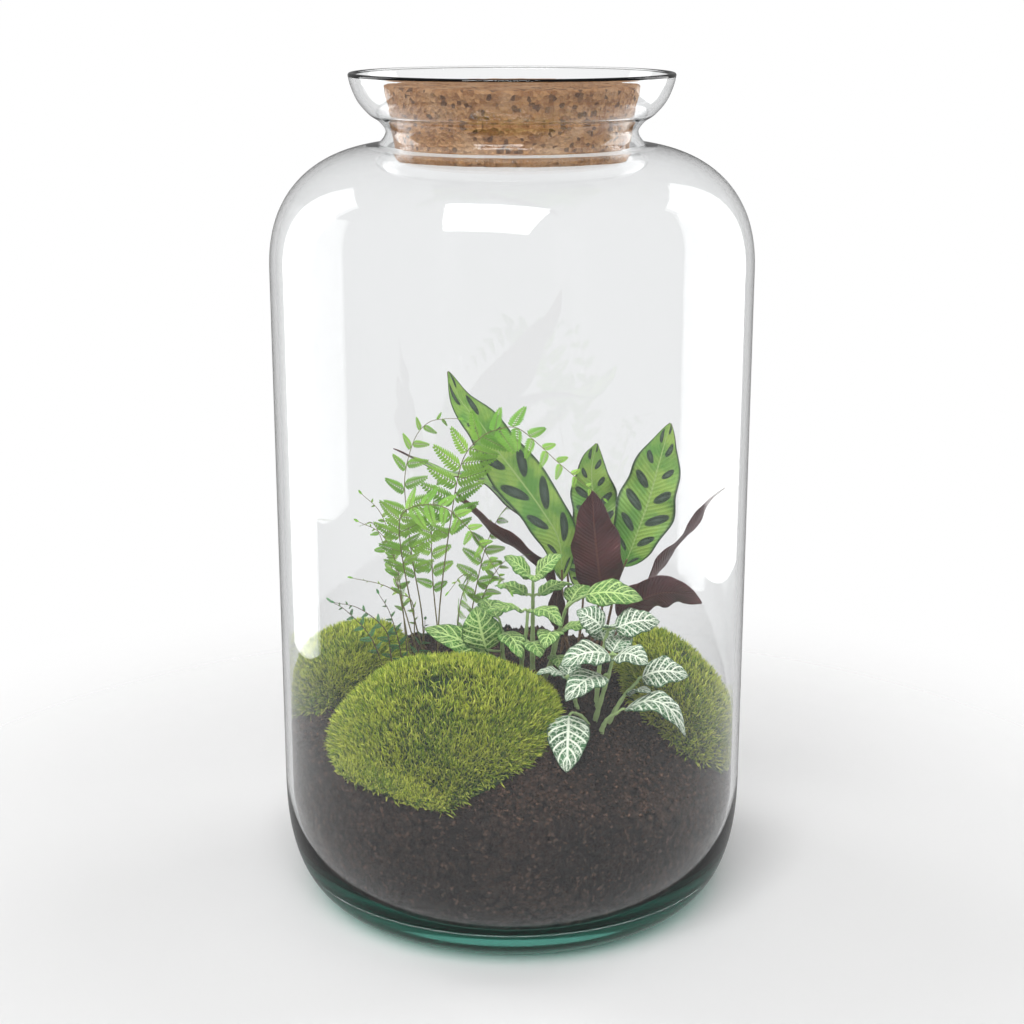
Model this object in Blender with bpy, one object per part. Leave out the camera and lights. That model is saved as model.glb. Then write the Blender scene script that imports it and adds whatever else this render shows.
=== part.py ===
"""A closed plant terrarium: a big glass jar with a cork, holding gravel, soil, moss and four kinds of plant.

Metres, +Z up. The origin is at the centre of the jar's foot, on the surface that it stands on.
"""

import math

import bmesh
import bpy
from mathutils import Vector

# The jar
JAR_HEIGHT = 0.475
BODY_R = 0.135
WALL = 0.0035
FLOOR_THICKNESS = 0.010
FOOT_R = 0.098  # outer edge of the flat ring that it stands on
FOOT_RING = 0.016  # width of that ring
PUNT = 0.004  # how far the middle of the underside is pushed up
CORNER_HEIGHT = 0.072
CORNER_POWER = 2.5  # 2 is an ellipse, more is squarer
SHOULDER_Z = 0.368
SHOULDER_RISE = 0.069
SHOULDER_REACH = 0.075
SHOULDER_POWER = 2.34
NECK_R = 0.0695
NECK_WALL = 0.003
NECK_Z = 0.4443
LIP_R = 0.0015
SIDES = 36

# What stands inside
GAP = 0.0003  # between pieces that rest on each other
CORK_Z = (0.4290, 0.4685)
CORK_R = (0.0638, 0.0703)
CORK_CHAMFER = 0.0015
GRAVEL_TOP = 0.034
SOIL_AT_WALL = 0.0955
SOIL_TILT_X = -0.0125  # the soil is higher on the left
SOIL_TILT_Y = 0.009  # and a little higher at the back
SOIL_TOP = 0.133
SOIL_POWER = 3
SOIL_RINGS = 9

# Each plant's root ball: place, top radius, depth
ROOT_BALLS = {
    "calathea": ((0.042, 0.018), 0.026, 0.052),
    "fern": ((-0.045, 0.012), 0.024, 0.050),
    "fittonia_left": ((0.008, -0.024), 0.020, 0.042),
    "fittonia_right": ((0.048, -0.060), 0.017, 0.038),
    "button_fern": ((-0.068, -0.019), 0.010, 0.026),
}
CROWN_DROP = 0.001  # a root ball's flat top is this far below the soil around it

# Each moss cushion: name, centre, half sizes along X and Y, height over the soil
MOSSES = (
    ("moss_front", (-0.040, -0.073), (0.062, 0.051), 0.024),
    ("moss_left", (-0.103, 0.015), (0.036, 0.047), 0.026),
    ("moss_right", (0.100, -0.010), (0.038, 0.050), 0.031),
)

# The plants' own sizes and routes are in centimetres, from the foot of the jar.
CM = 0.01
STEM_LIFT = 0.035  # between a stem's foot and its root ball
STEM_RISE = 0.5  # how far it rises straight up before it leans

# Each calathea leaf: its route from the foot of its stalk to its tip, half the blade's width,
# where the blade starts along the route, and which way its upper side looks at the foot and the tip
CALATHEA = (
    (
        [(3.4, 1.2), (3.0, 0.6, 17.0), (2.8, 0.2, 20.6), (1.9, 0, 22.5), (0.4, -0.2, 24.7),
         (-0.9, -0.4, 26.5), (-1.7, -0.6, 27.9), (-2.9, -0.8, 29.4), (-3.6, -1.0, 31.1)],
        1.45, 0.30, (0.1, -1, 0.3), (0.3, -1, 0.3),
    ),
    (
        [(3.0, 2.6), (3.4, 2.4, 17.1), (2.9, 2.2, 19.9), (1.9, 2.2, 21.5), (0.4, 2.2, 22.9),
         (-1.3, 2.2, 24.1), (-3.4, 2.4, 24.2), (-5.2, 2.5, 24.9), (-7.0, 2.6, 25.8)],
        1.25, 0.36, (0.2, -1, 0.5), (0.5, 0.4, 0.9),
    ),
    (
        [(2.5, 1.8), (2.6, 1.4, 16.6), (2.0, 1.2, 18.7), (0.7, 1.1, 19.9), (-0.7, 1.0, 21.0),
         (-2.2, 0.9, 22.4), (-3.3, 0.9, 23.6)],
        0.75, 0.36, (0.5, 0.6, 0.6), (0.5, 0.6, 0.6),
    ),
    (
        [(4.8, 3.4), (5.3, 3.6, 16.2), (5.2, 3.8, 19.2), (5.0, 4.2, 21.6), (4.8, 4.5, 24.0), (5.1, 4.7, 25.6)],
        1.45, 0.46, (0.1, -1, 0.2), (0.1, -1, 0.4),
    ),
    (
        [(5.3, 2.4), (5.7, 2.4, 14.6), (6.3, 2.3, 17.5), (7.1, 2.2, 19.7), (8.1, 2.2, 22.7), (8.7, 2.2, 25.1),
         (9.3, 2.2, 27.4)],
        1.75, 0.42, (-0.3, -1, 0.2), (-0.3, -1, 0.3),
    ),
    (
        [(4.4, 1.0), (5.2, 0.6, 14.8), (5.3, 0.2, 17.4), (5.0, -0.4, 19.7), (4.7, -0.9, 22.4), (4.6, -1.2, 24.2)],
        1.45, 0.38, (0, 1, 0.2), (0, 1, 0.3),
    ),
    (
        [(5.6, 1.4), (6.4, 1.2, 14.6), (7.8, 0.8, 17.4), (8.9, 0.4, 19.5), (10.4, 0.1, 21.5), (11.5, 0, 23.3),
         (12.4, 0, 24.1)],
        0.85, 0.36, (-0.7, 0.5, 0.6), (-0.7, 0.5, 0.6),
    ),
    (
        [(5.0, 0.3), (5.9, -0.4, 14.8), (6.6, -1.1, 17.0), (7.4, -1.4, 17.7), (8.4, -1.6, 18.2), (9.6, -1.9, 18.3),
         (10.9, -2.2, 17.8)],
        1.15, 0.45, (0, 1, 0.35), (0, 1, 0.4),
    ),
    (
        [(3.7, 0.4), (3.3, -0.3, 14.6), (2.8, -0.7, 16.2), (2.6, -1.0, 17.4), (2.7, -1.3, 18.6)],
        0.55, 0.45, (0, 1, 0.3), (0, 1, 0.3),
    ),
    (
        [(4.0, 2.7), (4.3, 2.9, 16.6), (4.0, 3.0, 18.6), (3.5, 3.0, 20.2)],
        0.8, 0.55, (0.4, -1, 0.2), (0.4, -1, 0.2),
    ),
)

# Each fern frond: its route, the length of its longest side branch, where they start, how many
# pairs, and which way its upper side looks
FERN = (
    ([(-5.2, 0.3), (-5.3, -0.1, 16.4), (-5.8, -0.6, 20.1), (-6.1, -0.8, 23.2), (-6.1, -0.9, 25.2),
      (-5.5, -1.2, 27.3), (-4.7, -1.6, 28.3), (-3.8, -2.0, 28.6), (-3.0, -2.4, 28.7)], 2.0, 0.42, 8, (-0.3, -1, 0.3)),
    ([(-4.4, -0.6), (-4.2, -0.8, 17.3), (-3.5, -1.6, 22.6), (-2.8, -2.2, 26.2), (-1.7, -2.6, 27.7),
      (-0.7, -2.8, 28.2), (0.3, -3.0, 28.3), (1.5, -3.2, 27.4), (2.6, -3.4, 26.4), (4.3, -3.6, 25.0),
      (5.1, -3.6, 24.4)], 2.2, 0.46, 13, (0.3, -1, 0.6)),
    ([(-5.0, -0.6), (-5.9, -1.2, 17.6), (-6.4, -2.4, 22.3), (-5.7, -3.0, 23.7), (-3.9, -3.8, 24.0),
      (-2.6, -4.4, 23.1), (-1.7, -4.8, 22.0), (-0.7, -5.0, 20.3), (-0.1, -5.0, 19.4)], 1.7, 0.45, 11, (0, -1, 0.8)),
    ([(-6.2, 0.5), (-6.6, 0.3, 18.3), (-7.0, 0.2, 20.1), (-7.7, 0, 21.4), (-8.9, -0.2, 22.1)],
     0.7, 0.45, 6, (0, -1, 0.6)),
    ([(-6.1, 1.4), (-6.8, 1.9, 17.6), (-7.2, 2.5, 20.0), (-7.9, 3.0, 21.8), (-9.0, 3.4, 22.8)],
     0.9, 0.50, 6, (-0.5, -1, 0.6)),
    ([(-5.8, -0.6), (-5.7, -1.8, 17.5), (-6.5, -2.0, 18.3), (-7.5, -2.1, 18.9), (-9.1, -2.2, 19.3)],
     0.45, 0.50, 6, (0.2, -0.6, 1)),
    ([(-3.4, -0.5), (-3.0, -2.0, 17.6), (-2.5, -3.4, 19.6), (-2.8, -4.6, 20.2), (-3.5, -5.3, 19.5)],
     1.2, 0.42, 7, (-0.6, -0.6, 1)),
    ([(-2.8, 1.8), (-2.2, 2.6, 17.0), (-1.4, 3.6, 20.0), (-0.2, 4.6, 21.8), (1.4, 5.4, 22.0)],
     1.6, 0.40, 7, (0.3, 0.6, 1)),
    ([(-4.4, 3.0), (-4.8, 3.8, 17.0), (-4.9, 4.8, 20.6), (-4.6, 6.0, 22.8), (-4.2, 7.6, 23.4)],
     1.7, 0.40, 7, (0, 0.6, 1)),
    ([(-5.8, 2.4), (-6.8, 3.6, 16.4), (-7.8, 5.0, 19.0), (-8.6, 6.2, 20.2), (-9.4, 7.2, 19.8)],
     1.3, 0.42, 6, (-0.5, 0.4, 1)),
    ([(-2.6, 0.6), (-2.1, 0.4, 16.0), (-1.4, 0.0, 18.2), (-0.4, -0.4, 19.8), (0.8, -0.6, 20.2)],
     1.1, 0.45, 6, (0.3, 0.3, 1)),
)
BUTTON_FERN = (
    ([(-6.9, -2.5), (-7.0, -2.6, 14.9), (-7.3, -2.7, 16.4), (-8.7, -2.9, 17.7), (-10.1, -3.0, 18.1)],
     0.75, 0.35, 5, (0.4, -1, 1)),
    ([(-6.4, -2.5), (-6.4, -3.0, 15.2), (-6.9, -3.6, 17.6), (-7.5, -3.9, 18.9)], 0.7, 0.35, 5, (0.3, -1, 0.3)),
    ([(-6.1, -1.8), (-5.4, -2.6, 15.0), (-5.0, -3.6, 16.5), (-4.9, -4.3, 17.5)], 0.7, 0.35, 5, (0, -1, 0.5)),
    ([(-7.4, -1.5), (-8.2, -1.2, 15.3), (-9.6, -0.8, 16.8), (-10.6, -0.6, 17.4)], 0.7, 0.40, 5, (0, -1, 1)),
)

# Each fittonia stem: its route, then its leaves: where on the stem, the leaf stalk, the blade, half
# the blade's width, how far the blade arches, and which way its upper side looks
UP = (0, 0, 1)
FITTONIA_LEFT = (
    ([(-0.2, -2.7), (-0.5, -2.9, 14.6), (-0.6, -3.0, 16.2), (-0.7, -3.1, 17.0)], (
        (0.55, (-0.9, -0.5, 0.3), (-0.5, 0.3, 2.2), 1.0, 0.1, (-0.2, -1, 0.1)),
        (0.32, (-0.9, 0.1, 0.6), (-3.3, -0.3, 1.5), 0.75, 0.1, (0.2, -0.8, 0.8)),
        (0.85, (0.1, -0.4, 0.1), (0.9, -1.6, -0.8), 0.65, 0.2, UP),
        (1.0, (-0.2, 0.4, 0.2), (-0.8, 1.4, 0.5), 0.65, 0.15, UP))),
    ([(0.5, -3.0), (0.6, -3.3, 15.1), (0.8, -3.4, 16.4), (0.9, -3.4, 17.8)], (
        (1.0, (0.2, -0.2, 0.1), (1.5, -1.0, -0.5), 0.75, 0.25, UP),
        (1.0, (-0.3, -0.2, 0.1), (-1.8, -0.8, 0.2), 0.75, 0.15, UP),
        (0.6, (0.3, -0.4, 0.1), (0.5, -1.6, -0.2), 0.65, 0.2, UP))),
    ([(1.2, -1.4), (1.2, -1.8, 16.5), (1.2, -2.4, 18.6), (1.2, -2.6, 19.4)], (
        (1.0, (-0.2, 0, 0.3), (-1.3, -0.2, 1.1), 0.6, 0.1, (0.5, -0.6, 1)),
        (1.0, (0.2, 0, 0.3), (1.3, -0.2, 1.2), 0.6, 0.1, (-0.5, -0.6, 1)),
        (1.0, (0, -0.3, 0.2), (0.1, -1.3, 0.3), 0.6, 0.2, UP),
        (0.82, (0.4, 0.2, 0.1), (1.7, 0.9, 0.3), 0.65, 0.15, UP),
        (0.82, (-0.4, 0.2, 0.1), (-1.6, 0.9, 0.2), 0.65, 0.15, UP))),
    ([(1.9, -3.1), (2.2, -3.4, 14.6), (2.4, -3.6, 15.8), (2.5, -3.7, 16.6)], (
        (1.0, (0.3, 0, 0.1), (1.7, -0.3, 0.1), 0.7, 0.2, UP),
        (1.0, (-0.1, -0.3, 0.1), (-0.5, -1.6, -0.3), 0.65, 0.25, UP),
        (0.6, (0.2, -0.2, 0), (0.2, -1.0, -0.3), 0.5, 0.25, UP))),
    ([(2.2, -1.7), (2.7, -2.2, 16.0), (3.1, -2.9, 17.8)], (
        (1.0, (1.1, -0.9, 1.1), (2.8, -0.8, 0.0), 0.8, 0.15, (0, -0.7, 1)),
        (1.0, (0.3, 0.3, 0.3), (0.9, 1.5, 0.4), 0.65, 0.15, UP))),
)
FITTONIA_RIGHT = (
    ([(4.6, -6.3), (5.1, -6.4, 14.0), (5.4, -6.6, 15.2), (5.6, -6.7, 16.3)], (
        (1.0, (-0.2, -0.1, 0.1), (-2.4, -1.0, -0.2), 0.9, 0.2, (0, -0.4, 1)),
        (0.75, (-0.3, -0.4, 0.1), (-1.9, -1.9, -0.6), 0.85, 0.2, (0, -0.3, 1)),
        (1.0, (0.2, -0.2, 0.1), (1.4, -1.3, 0.0), 0.8, 0.2, (0, -0.4, 1)),
        (1.0, (0, 0.3, 0.1), (0.9, 1.2, 0.5), 0.7, 0.15, UP))),
    ([(5.4, -6.2), (6.2, -6.3, 13.6), (7.0, -6.4, 14.6)], (
        (1.0, (0.3, 0, 0.3), (2.2, -0.4, 0.2), 0.95, 0.2, (-0.2, -0.5, 1)),
        (0.7, (0.3, -0.3, 0.1), (0.9, -1.1, 0.5), 0.5, 0.2, UP))),
    ([(5.0, -7.1), (5.3, -7.3, 12.7), (5.9, -7.5, 13.2)], (
        (1.0, (0.4, -0.1, 0.2), (2.8, -1.1, -1.0), 0.85, 0.45, (0.1, -0.3, 1)),)),
    ([(4.3, -6.9), (3.9, -7.0, 12.7), (3.4, -7.1, 13.0)], (
        (1.0, (-0.3, -0.2, -0.1), (-0.2, -3.1, -1.7), 1.0, 0.12, (0, -0.6, 1)),)),
    ([(4.7, -5.3), (4.9, -5.4, 15.0), (5.2, -5.4, 16.6), (5.4, -5.4, 17.4)], (
        (1.0, (-0.3, 0, 0.1), (-1.3, 0.1, 0.9), 0.75, 0.15, (0.3, -0.8, 0.8)),
        (1.0, (0.4, 0, 0.1), (2.2, 0.2, 0.3), 0.85, 0.15, (-0.1, -0.6, 1)),
        (1.0, (0, -0.1, 0.2), (0.2, -0.8, 0.3), 0.4, 0.1, UP),
        (0.85, (0, 0.4, 0.1), (-0.4, 1.6, 0.1), 0.7, 0.2, UP))),
    ([(3.8, -5.6), (3.4, -5.8, 13.8), (3.1, -6.0, 14.6)], (
        (1.0, (-0.2, 0, 0.1), (-1.4, -0.3, 0.3), 0.6, 0.2, UP),
        (1.0, (0, 0.3, 0.1), (0.3, 1.3, 0.2), 0.55, 0.2, UP))),
)

# Half thicknesses
BLADE_T = 0.025
PETIOLE_R = 0.09
RACHIS_R = 0.055
PINNA_T = 0.02
STALK_STEPS = 8
FITTONIA_STEM_R = 0.16
FITTONIA_PETIOLE_R = 0.07

COLOURS = {
    "glass": ((0.75, 0.90, 0.85), 0.02, 0.0),
    "cork": ((0.55, 0.33, 0.17), 0.85, 0.0),
    "gravel": ((0.07, 0.05, 0.045), 0.95, 0.0),
    "soil": ((0.045, 0.028, 0.020), 0.95, 0.0),
    "moss": ((0.20, 0.33, 0.03), 0.9, 0.0),
    "calathea": ((0.20, 0.42, 0.08), 0.45, 0.0),
    "fern": ((0.30, 0.55, 0.10), 0.6, 0.0),
    "fittonia_left": ((0.30, 0.50, 0.20), 0.55, 0.0),
    "fittonia_right": ((0.55, 0.68, 0.45), 0.55, 0.0),
    "button_fern": ((0.08, 0.25, 0.10), 0.5, 0.0),
}


def clear_scene():
    for obj in list(bpy.data.objects):
        bpy.data.objects.remove(obj)


def material(name):
    """The Principled material of that name, made the first time it is asked for."""
    found = bpy.data.materials.get(name)
    if found:
        return found
    colour, roughness, metallic = COLOURS[name]
    made = bpy.data.materials.new(name)
    made.use_nodes = True
    shader = made.node_tree.nodes["Principled BSDF"]
    shader.inputs["Base Color"].default_value = (*colour, 1.0)
    shader.inputs["Roughness"].default_value = roughness
    shader.inputs["Metallic"].default_value = metallic
    if name == "glass":
        shader.inputs["Transmission Weight"].default_value = 1.0
    return made


def add_object(name, mesh_data, material_name, location=(0, 0, 0)):
    """A new object from a bmesh, with its faces pointing out."""
    bmesh.ops.recalc_face_normals(mesh_data, faces=mesh_data.faces)
    mesh = bpy.data.meshes.new(name)
    mesh_data.to_mesh(mesh)
    mesh_data.free()
    mesh.materials.append(material(material_name))
    obj = bpy.data.objects.new(name, mesh)
    obj.location = location
    bpy.context.scene.collection.objects.link(obj)
    return obj


def smooth(obj, angle=math.radians(35)):
    obj.data.shade_smooth()
    obj.data.set_sharp_from_angle(angle=angle)


# Turned shapes


def turned(name, profile, material_name):
    """A closed solid of revolution about Z. The profile runs from the axis round to the axis again."""
    mesh_data = bmesh.new()
    rings = []
    for radius, z in profile:
        if radius < 1e-6:
            rings.append([mesh_data.verts.new((0, 0, z))])
            continue
        turn = [2 * math.pi * k / SIDES for k in range(SIDES)]
        rings.append([mesh_data.verts.new((radius * math.cos(a), radius * math.sin(a), z)) for a in turn])
    for lower, upper in zip(rings[:-1], rings[1:]):
        join_rings(mesh_data, lower, upper)
    obj = add_object(name, mesh_data, material_name)
    smooth(obj)
    return obj


def join_rings(mesh_data, lower, upper):
    """Faces between two rings of vertices. A ring may be a single vertex."""
    count = max(len(lower), len(upper))
    for k in range(count):
        after = (k + 1) % count
        if len(lower) == 1:
            mesh_data.faces.new((lower[0], upper[after], upper[k]))
        elif len(upper) == 1:
            mesh_data.faces.new((lower[k], lower[after], upper[0]))
        else:
            mesh_data.faces.new((lower[k], lower[after], upper[after], upper[k]))


def superellipse(start_r, end_r, start_z, end_z, power, steps, from_floor):
    """A rounded corner. from_floor starts level and ends upright, and otherwise it starts upright."""
    points = []
    for k in range(steps + 1):
        angle = math.pi / 2 * k / steps
        sine, cosine = (max(0.0, f(angle)) ** (2 / power) for f in (math.sin, math.cos))
        if from_floor:
            points.append((start_r + (end_r - start_r) * sine, start_z + (end_z - start_z) * (1 - cosine)))
        else:
            points.append((start_r - (start_r - end_r) * (1 - cosine), start_z + (end_z - start_z) * sine))
    return points


def through(points, steps):
    """A smooth curve through points of any dimension, with that many steps between neighbours."""
    points = [Vector(p) for p in points]
    ends = [2 * points[0] - points[1], *points, 2 * points[-1] - points[-2]]
    curve = []
    for before, start, end, after in zip(ends, ends[1:], ends[2:], ends[3:]):
        for k in range(steps):
            t = k / steps
            curve.append(
                0.5
                * (
                    2 * start
                    + (end - before) * t
                    + (2 * before - 5 * start + 4 * end - after) * t**2
                    + (3 * start - before - 3 * end + after) * t**3
                )
            )
    return [*curve, points[-1]]


def neck_and_flare():
    """The outside of the neck and the flared mouth, from the shoulder up to just under the lip."""
    top = JAR_HEIGHT - LIP_R
    points = (
        (NECK_R + 0.0045, SHOULDER_Z + SHOULDER_RISE - 0.0006),
        (NECK_R + 0.0010, NECK_Z - 0.0040),
        (NECK_R, NECK_Z),
        (NECK_R + 0.0035, NECK_Z + 0.0047),
        (NECK_R + 0.0090, NECK_Z + 0.0085),
        (NECK_R + 0.0150, NECK_Z + 0.0155),
        (NECK_R + 0.0186, NECK_Z + 0.0235),
        (NECK_R + 0.0200, top),
    )
    return list(points)


def inward(curve, thickness):
    """The curve moved inside by the wall's thickness, at right angles to itself."""
    moved = []
    for k, (radius, z) in enumerate(curve):
        before, after = curve[max(0, k - 1)], curve[min(len(curve) - 1, k + 1)]
        along = Vector((after[0] - before[0], after[1] - before[1])).normalized()
        moved.append((radius - along.y * thickness, z + along.x * thickness))
    return moved


def shoulder(inset):
    end_r = BODY_R - SHOULDER_REACH
    curve = superellipse(
        BODY_R - inset, end_r, SHOULDER_Z, SHOULDER_Z + SHOULDER_RISE - inset, SHOULDER_POWER, 11, False
    )
    return [(radius, z) for radius, z in curve if radius > NECK_R + 0.006 + inset * 0.3]


def inner_corner(inset, steps=7):
    """The inside of the jar's floor and corner, moved in by inset from the glass."""
    return superellipse(
        FOOT_R - 0.004,
        BODY_R - WALL - inset,
        FLOOR_THICKNESS + inset,
        CORNER_HEIGHT,
        CORNER_POWER,
        steps,
        True,
    )


def glass_jar():
    outside = superellipse(FOOT_R, BODY_R, 0.0, CORNER_HEIGHT, CORNER_POWER, 7, True)
    outside += shoulder(0.0) + neck_and_flare()
    inside = inner_corner(0.0) + shoulder(WALL) + inward(neck_and_flare(), NECK_WALL)
    lip_centre = Vector(((outside[-1][0] + inside[-1][0]) / 2, JAR_HEIGHT - LIP_R))
    lip = [
        (lip_centre.x + LIP_R * math.cos(a), lip_centre.y + LIP_R * math.sin(a))
        for a in (math.radians(d) for d in (30, 65, 90, 115, 150))
    ]
    underside = [
        (0.0, PUNT),
        ((FOOT_R - FOOT_RING) * 0.5, PUNT * 0.8),
        ((FOOT_R - FOOT_RING) * 0.85, PUNT * 0.25),
        (FOOT_R - FOOT_RING, 0.0),
    ]
    profile = [*underside, *outside, *lip, *reversed(inside), (0.0, FLOOR_THICKNESS)]
    return turned("glass_jar", profile, "glass")


def cork_stopper():
    (low_r, high_r), (low_z, high_z) = CORK_R, CORK_Z
    profile = [
        (0.0, low_z),
        (low_r - CORK_CHAMFER, low_z),
        (low_r, low_z + CORK_CHAMFER),
        (high_r, high_z - CORK_CHAMFER),
        (high_r - CORK_CHAMFER, high_z),
        (0.0, high_z),
    ]
    return turned("cork_stopper", profile, "cork")


def glass_radius(z, inset):
    """The jar's inner radius at a height below the shoulder, less inset."""
    curve = inner_corner(inset, 24)
    for (low_r, low_z), (high_r, high_z) in zip(curve[:-1], curve[1:]):
        if low_z <= z <= high_z and high_z > low_z:
            return low_r + (high_r - low_r) * (z - low_z) / (high_z - low_z)
    return BODY_R - WALL - inset


def gravel_layer():
    side = [(radius, z) for radius, z in inner_corner(GAP) if z < GRAVEL_TOP - 0.003]
    edge = (glass_radius(GRAVEL_TOP, 2 * GAP), GRAVEL_TOP)
    profile = [(0.0, FLOOR_THICKNESS + GAP), *side, edge, (0.0, GRAVEL_TOP)]
    return turned("gravel_layer", profile, "gravel")


# The soil and what is bedded in it


def soil_height(x, y):
    """The height of the soil's surface: a mound that falls away to the glass."""
    across = BODY_R - WALL
    at_wall = SOIL_AT_WALL + SOIL_TILT_X * x / across + SOIL_TILT_Y * y / across
    return at_wall + (SOIL_TOP - at_wall) * max(0.0, 1 - (math.hypot(x, y) / across) ** SOIL_POWER)


def soil():
    wall_r = BODY_R - WALL - GAP
    mesh_data = bmesh.new()
    low_z = GRAVEL_TOP + GAP
    turn = [2 * math.pi * k / SIDES for k in range(SIDES)]
    rings = [[mesh_data.verts.new((0, 0, low_z))]]
    for z in (low_z, low_z + 0.012, low_z + 0.025, CORNER_HEIGHT):
        radius = glass_radius(z, 2 * GAP)
        rings.append([mesh_data.verts.new((radius * math.cos(a), radius * math.sin(a), z)) for a in turn])
    for ring in range(SOIL_RINGS, 0, -1):
        radius = wall_r * (ring / SOIL_RINGS) ** 0.75
        flat = [(radius * math.cos(a), radius * math.sin(a)) for a in turn]
        rings.append([mesh_data.verts.new((x, y, soil_height(x, y))) for x, y in flat])
    rings.append([mesh_data.verts.new((0, 0, soil_height(0, 0)))])
    for lower, upper in zip(rings[:-1], rings[1:]):
        join_rings(mesh_data, lower, upper)
    obj = add_object("soil", mesh_data, "soil")
    for plant in ROOT_BALLS:
        cut_pocket(obj, plant)
    smooth(obj)
    return obj


def crown_height(plant):
    """The level of the flat top of a plant's root ball, just under the lowest soil around it."""
    (x, y), radius, _ = ROOT_BALLS[plant]
    around = [math.radians(d) for d in range(0, 360, 15)]
    return min(soil_height(x + radius * math.cos(a), y + radius * math.sin(a)) for a in around) - CROWN_DROP


def plug(name, plant, grow, above, sides=16):
    """A plant's tapered root ball, or the pocket that it sits in."""
    (x, y), radius, depth = ROOT_BALLS[plant]
    mesh_data = bmesh.new()
    rings = []
    levels = [(0.78, -depth - grow), (0.9, -depth * 0.7), (1.0, 0.0)]
    if above:
        levels.append((1.0, above))
    for share, z in levels:
        ring_r = radius * share + grow
        turn = [2 * math.pi * (k + 0.5) / sides for k in range(sides)]
        rings.append([mesh_data.verts.new((ring_r * math.cos(a), ring_r * math.sin(a), z)) for a in turn])
    mesh_data.faces.new(reversed(rings[0]))
    mesh_data.faces.new(rings[-1])
    for lower, upper in zip(rings[:-1], rings[1:]):
        join_rings(mesh_data, lower, upper)
    return add_object(name, mesh_data, "soil", (x, y, crown_height(plant)))


def helper(obj):
    """Marks an object that only shapes another."""
    obj.hide_render = True
    obj.display_type = "WIRE"
    return obj


def combine(obj, other, operation):
    joint = obj.modifiers.new(other.name, "BOOLEAN")
    joint.operation = operation
    joint.solver = "EXACT"
    joint.object = other
    return joint


def cut_pocket(obj, plant):
    combine(obj, helper(plug(f"{plant}_pocket", plant, GAP, 0.02)), "DIFFERENCE")


def moss(name, centre, half, height):
    """A domed cushion that lies on the soil and presses against the glass."""
    steps, sides = 5, 24
    limit = BODY_R - WALL - 3 * GAP
    mesh_data = bmesh.new()

    def at(share, angle, lift):
        x = centre[0] + half[0] * share * math.cos(angle)
        y = centre[1] + half[1] * share * math.sin(angle)
        out = math.hypot(x, y)
        if out > limit:
            x, y = x * limit / out, y * limit / out
        return mesh_data.verts.new((x, y, soil_height(x, y) + 3 * GAP + lift))

    turn = [2 * math.pi * k / sides for k in range(sides)]
    rings = [[at(0, 0, 0)]]
    rings += [[at(share, a, 0) for a in turn] for share in (0.3, 0.6, 0.9)]
    for k in range(steps):
        bulge = math.pi / 2 * (k + 0.4) / (steps + 0.4)
        rings.append([at(math.cos(bulge) ** 0.7, a, height * math.sin(bulge)) for a in turn])
    rings.append([at(0, 0, height)])
    for lower, upper in zip(rings[:-1], rings[1:]):
        join_rings(mesh_data, lower, upper)
    obj = add_object(name, mesh_data, "moss")
    smooth(obj, math.radians(60))
    return obj


# Leaves, stalks and fronds


def rooted(plant, route):
    """The route with the height of its foot filled in, just clear of the plant's root ball."""
    x, y = route[0]
    foot = Vector((x, y, crown_height(plant) / CM + STEM_LIFT))
    return [foot, foot + Vector((0, 0, STEM_RISE)), *(Vector(p) for p in route[1:])]


def point_on(curve, share):
    """The point at a share of the way along a curve, and the direction there."""
    place = share * (len(curve) - 1)
    low = min(int(place), len(curve) - 2)
    return curve[low].lerp(curve[low + 1], place - low), (curve[low + 1] - curve[low]).normalized()


def even(curve, count):
    """The curve again, in count + 1 points at equal distances."""
    runs = [0.0]
    for start, end in zip(curve, curve[1:]):
        runs.append(runs[-1] + (end - start).length)
    points, low = [], 0
    for k in range(count + 1):
        want = runs[-1] * k / count
        while low < len(curve) - 2 and runs[low + 1] < want:
            low += 1
        span = runs[low + 1] - runs[low]
        points.append(curve[low].lerp(curve[low + 1], (want - runs[low]) / span))
    return points


def loft(mesh_data, centres, widths, thicks, looks, fold=0.0, wide=False):
    """A closed strip, with four-sided sections or six-sided wide ones. looks is the way its upper side faces."""
    rings = []
    for k, centre in enumerate(centres):
        along = (centres[min(k + 1, len(centres) - 1)] - centres[max(k - 1, 0)]).normalized()
        side = along.cross(looks[k]).normalized()
        upper = side.cross(along).normalized()
        width, thick, rise = widths[k], thicks[k], fold * widths[k]
        half = 0.5 if wide else 0.0
        section = [
            side * width + upper * rise,
            side * width * half + upper * (thick + rise * half),
            -side * width * half + upper * (thick + rise * half),
            -side * width + upper * rise,
            -side * width * half - upper * (thick - rise * half),
            side * width * half - upper * (thick - rise * half),
        ]
        if not wide:
            del section[5], section[2]
        rings.append([mesh_data.verts.new((centre + offset) * CM) for offset in section])
    mesh_data.faces.new(rings[0])
    mesh_data.faces.new(reversed(rings[-1]))
    for lower, upper_ring in zip(rings[:-1], rings[1:]):
        join_rings(mesh_data, lower, upper_ring)


def blade_width(share, power):
    """The outline of a leaf: 0 at both ends and 1 at its widest."""
    return max(0.0, math.sin(math.pi * share**0.85)) ** power


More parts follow.
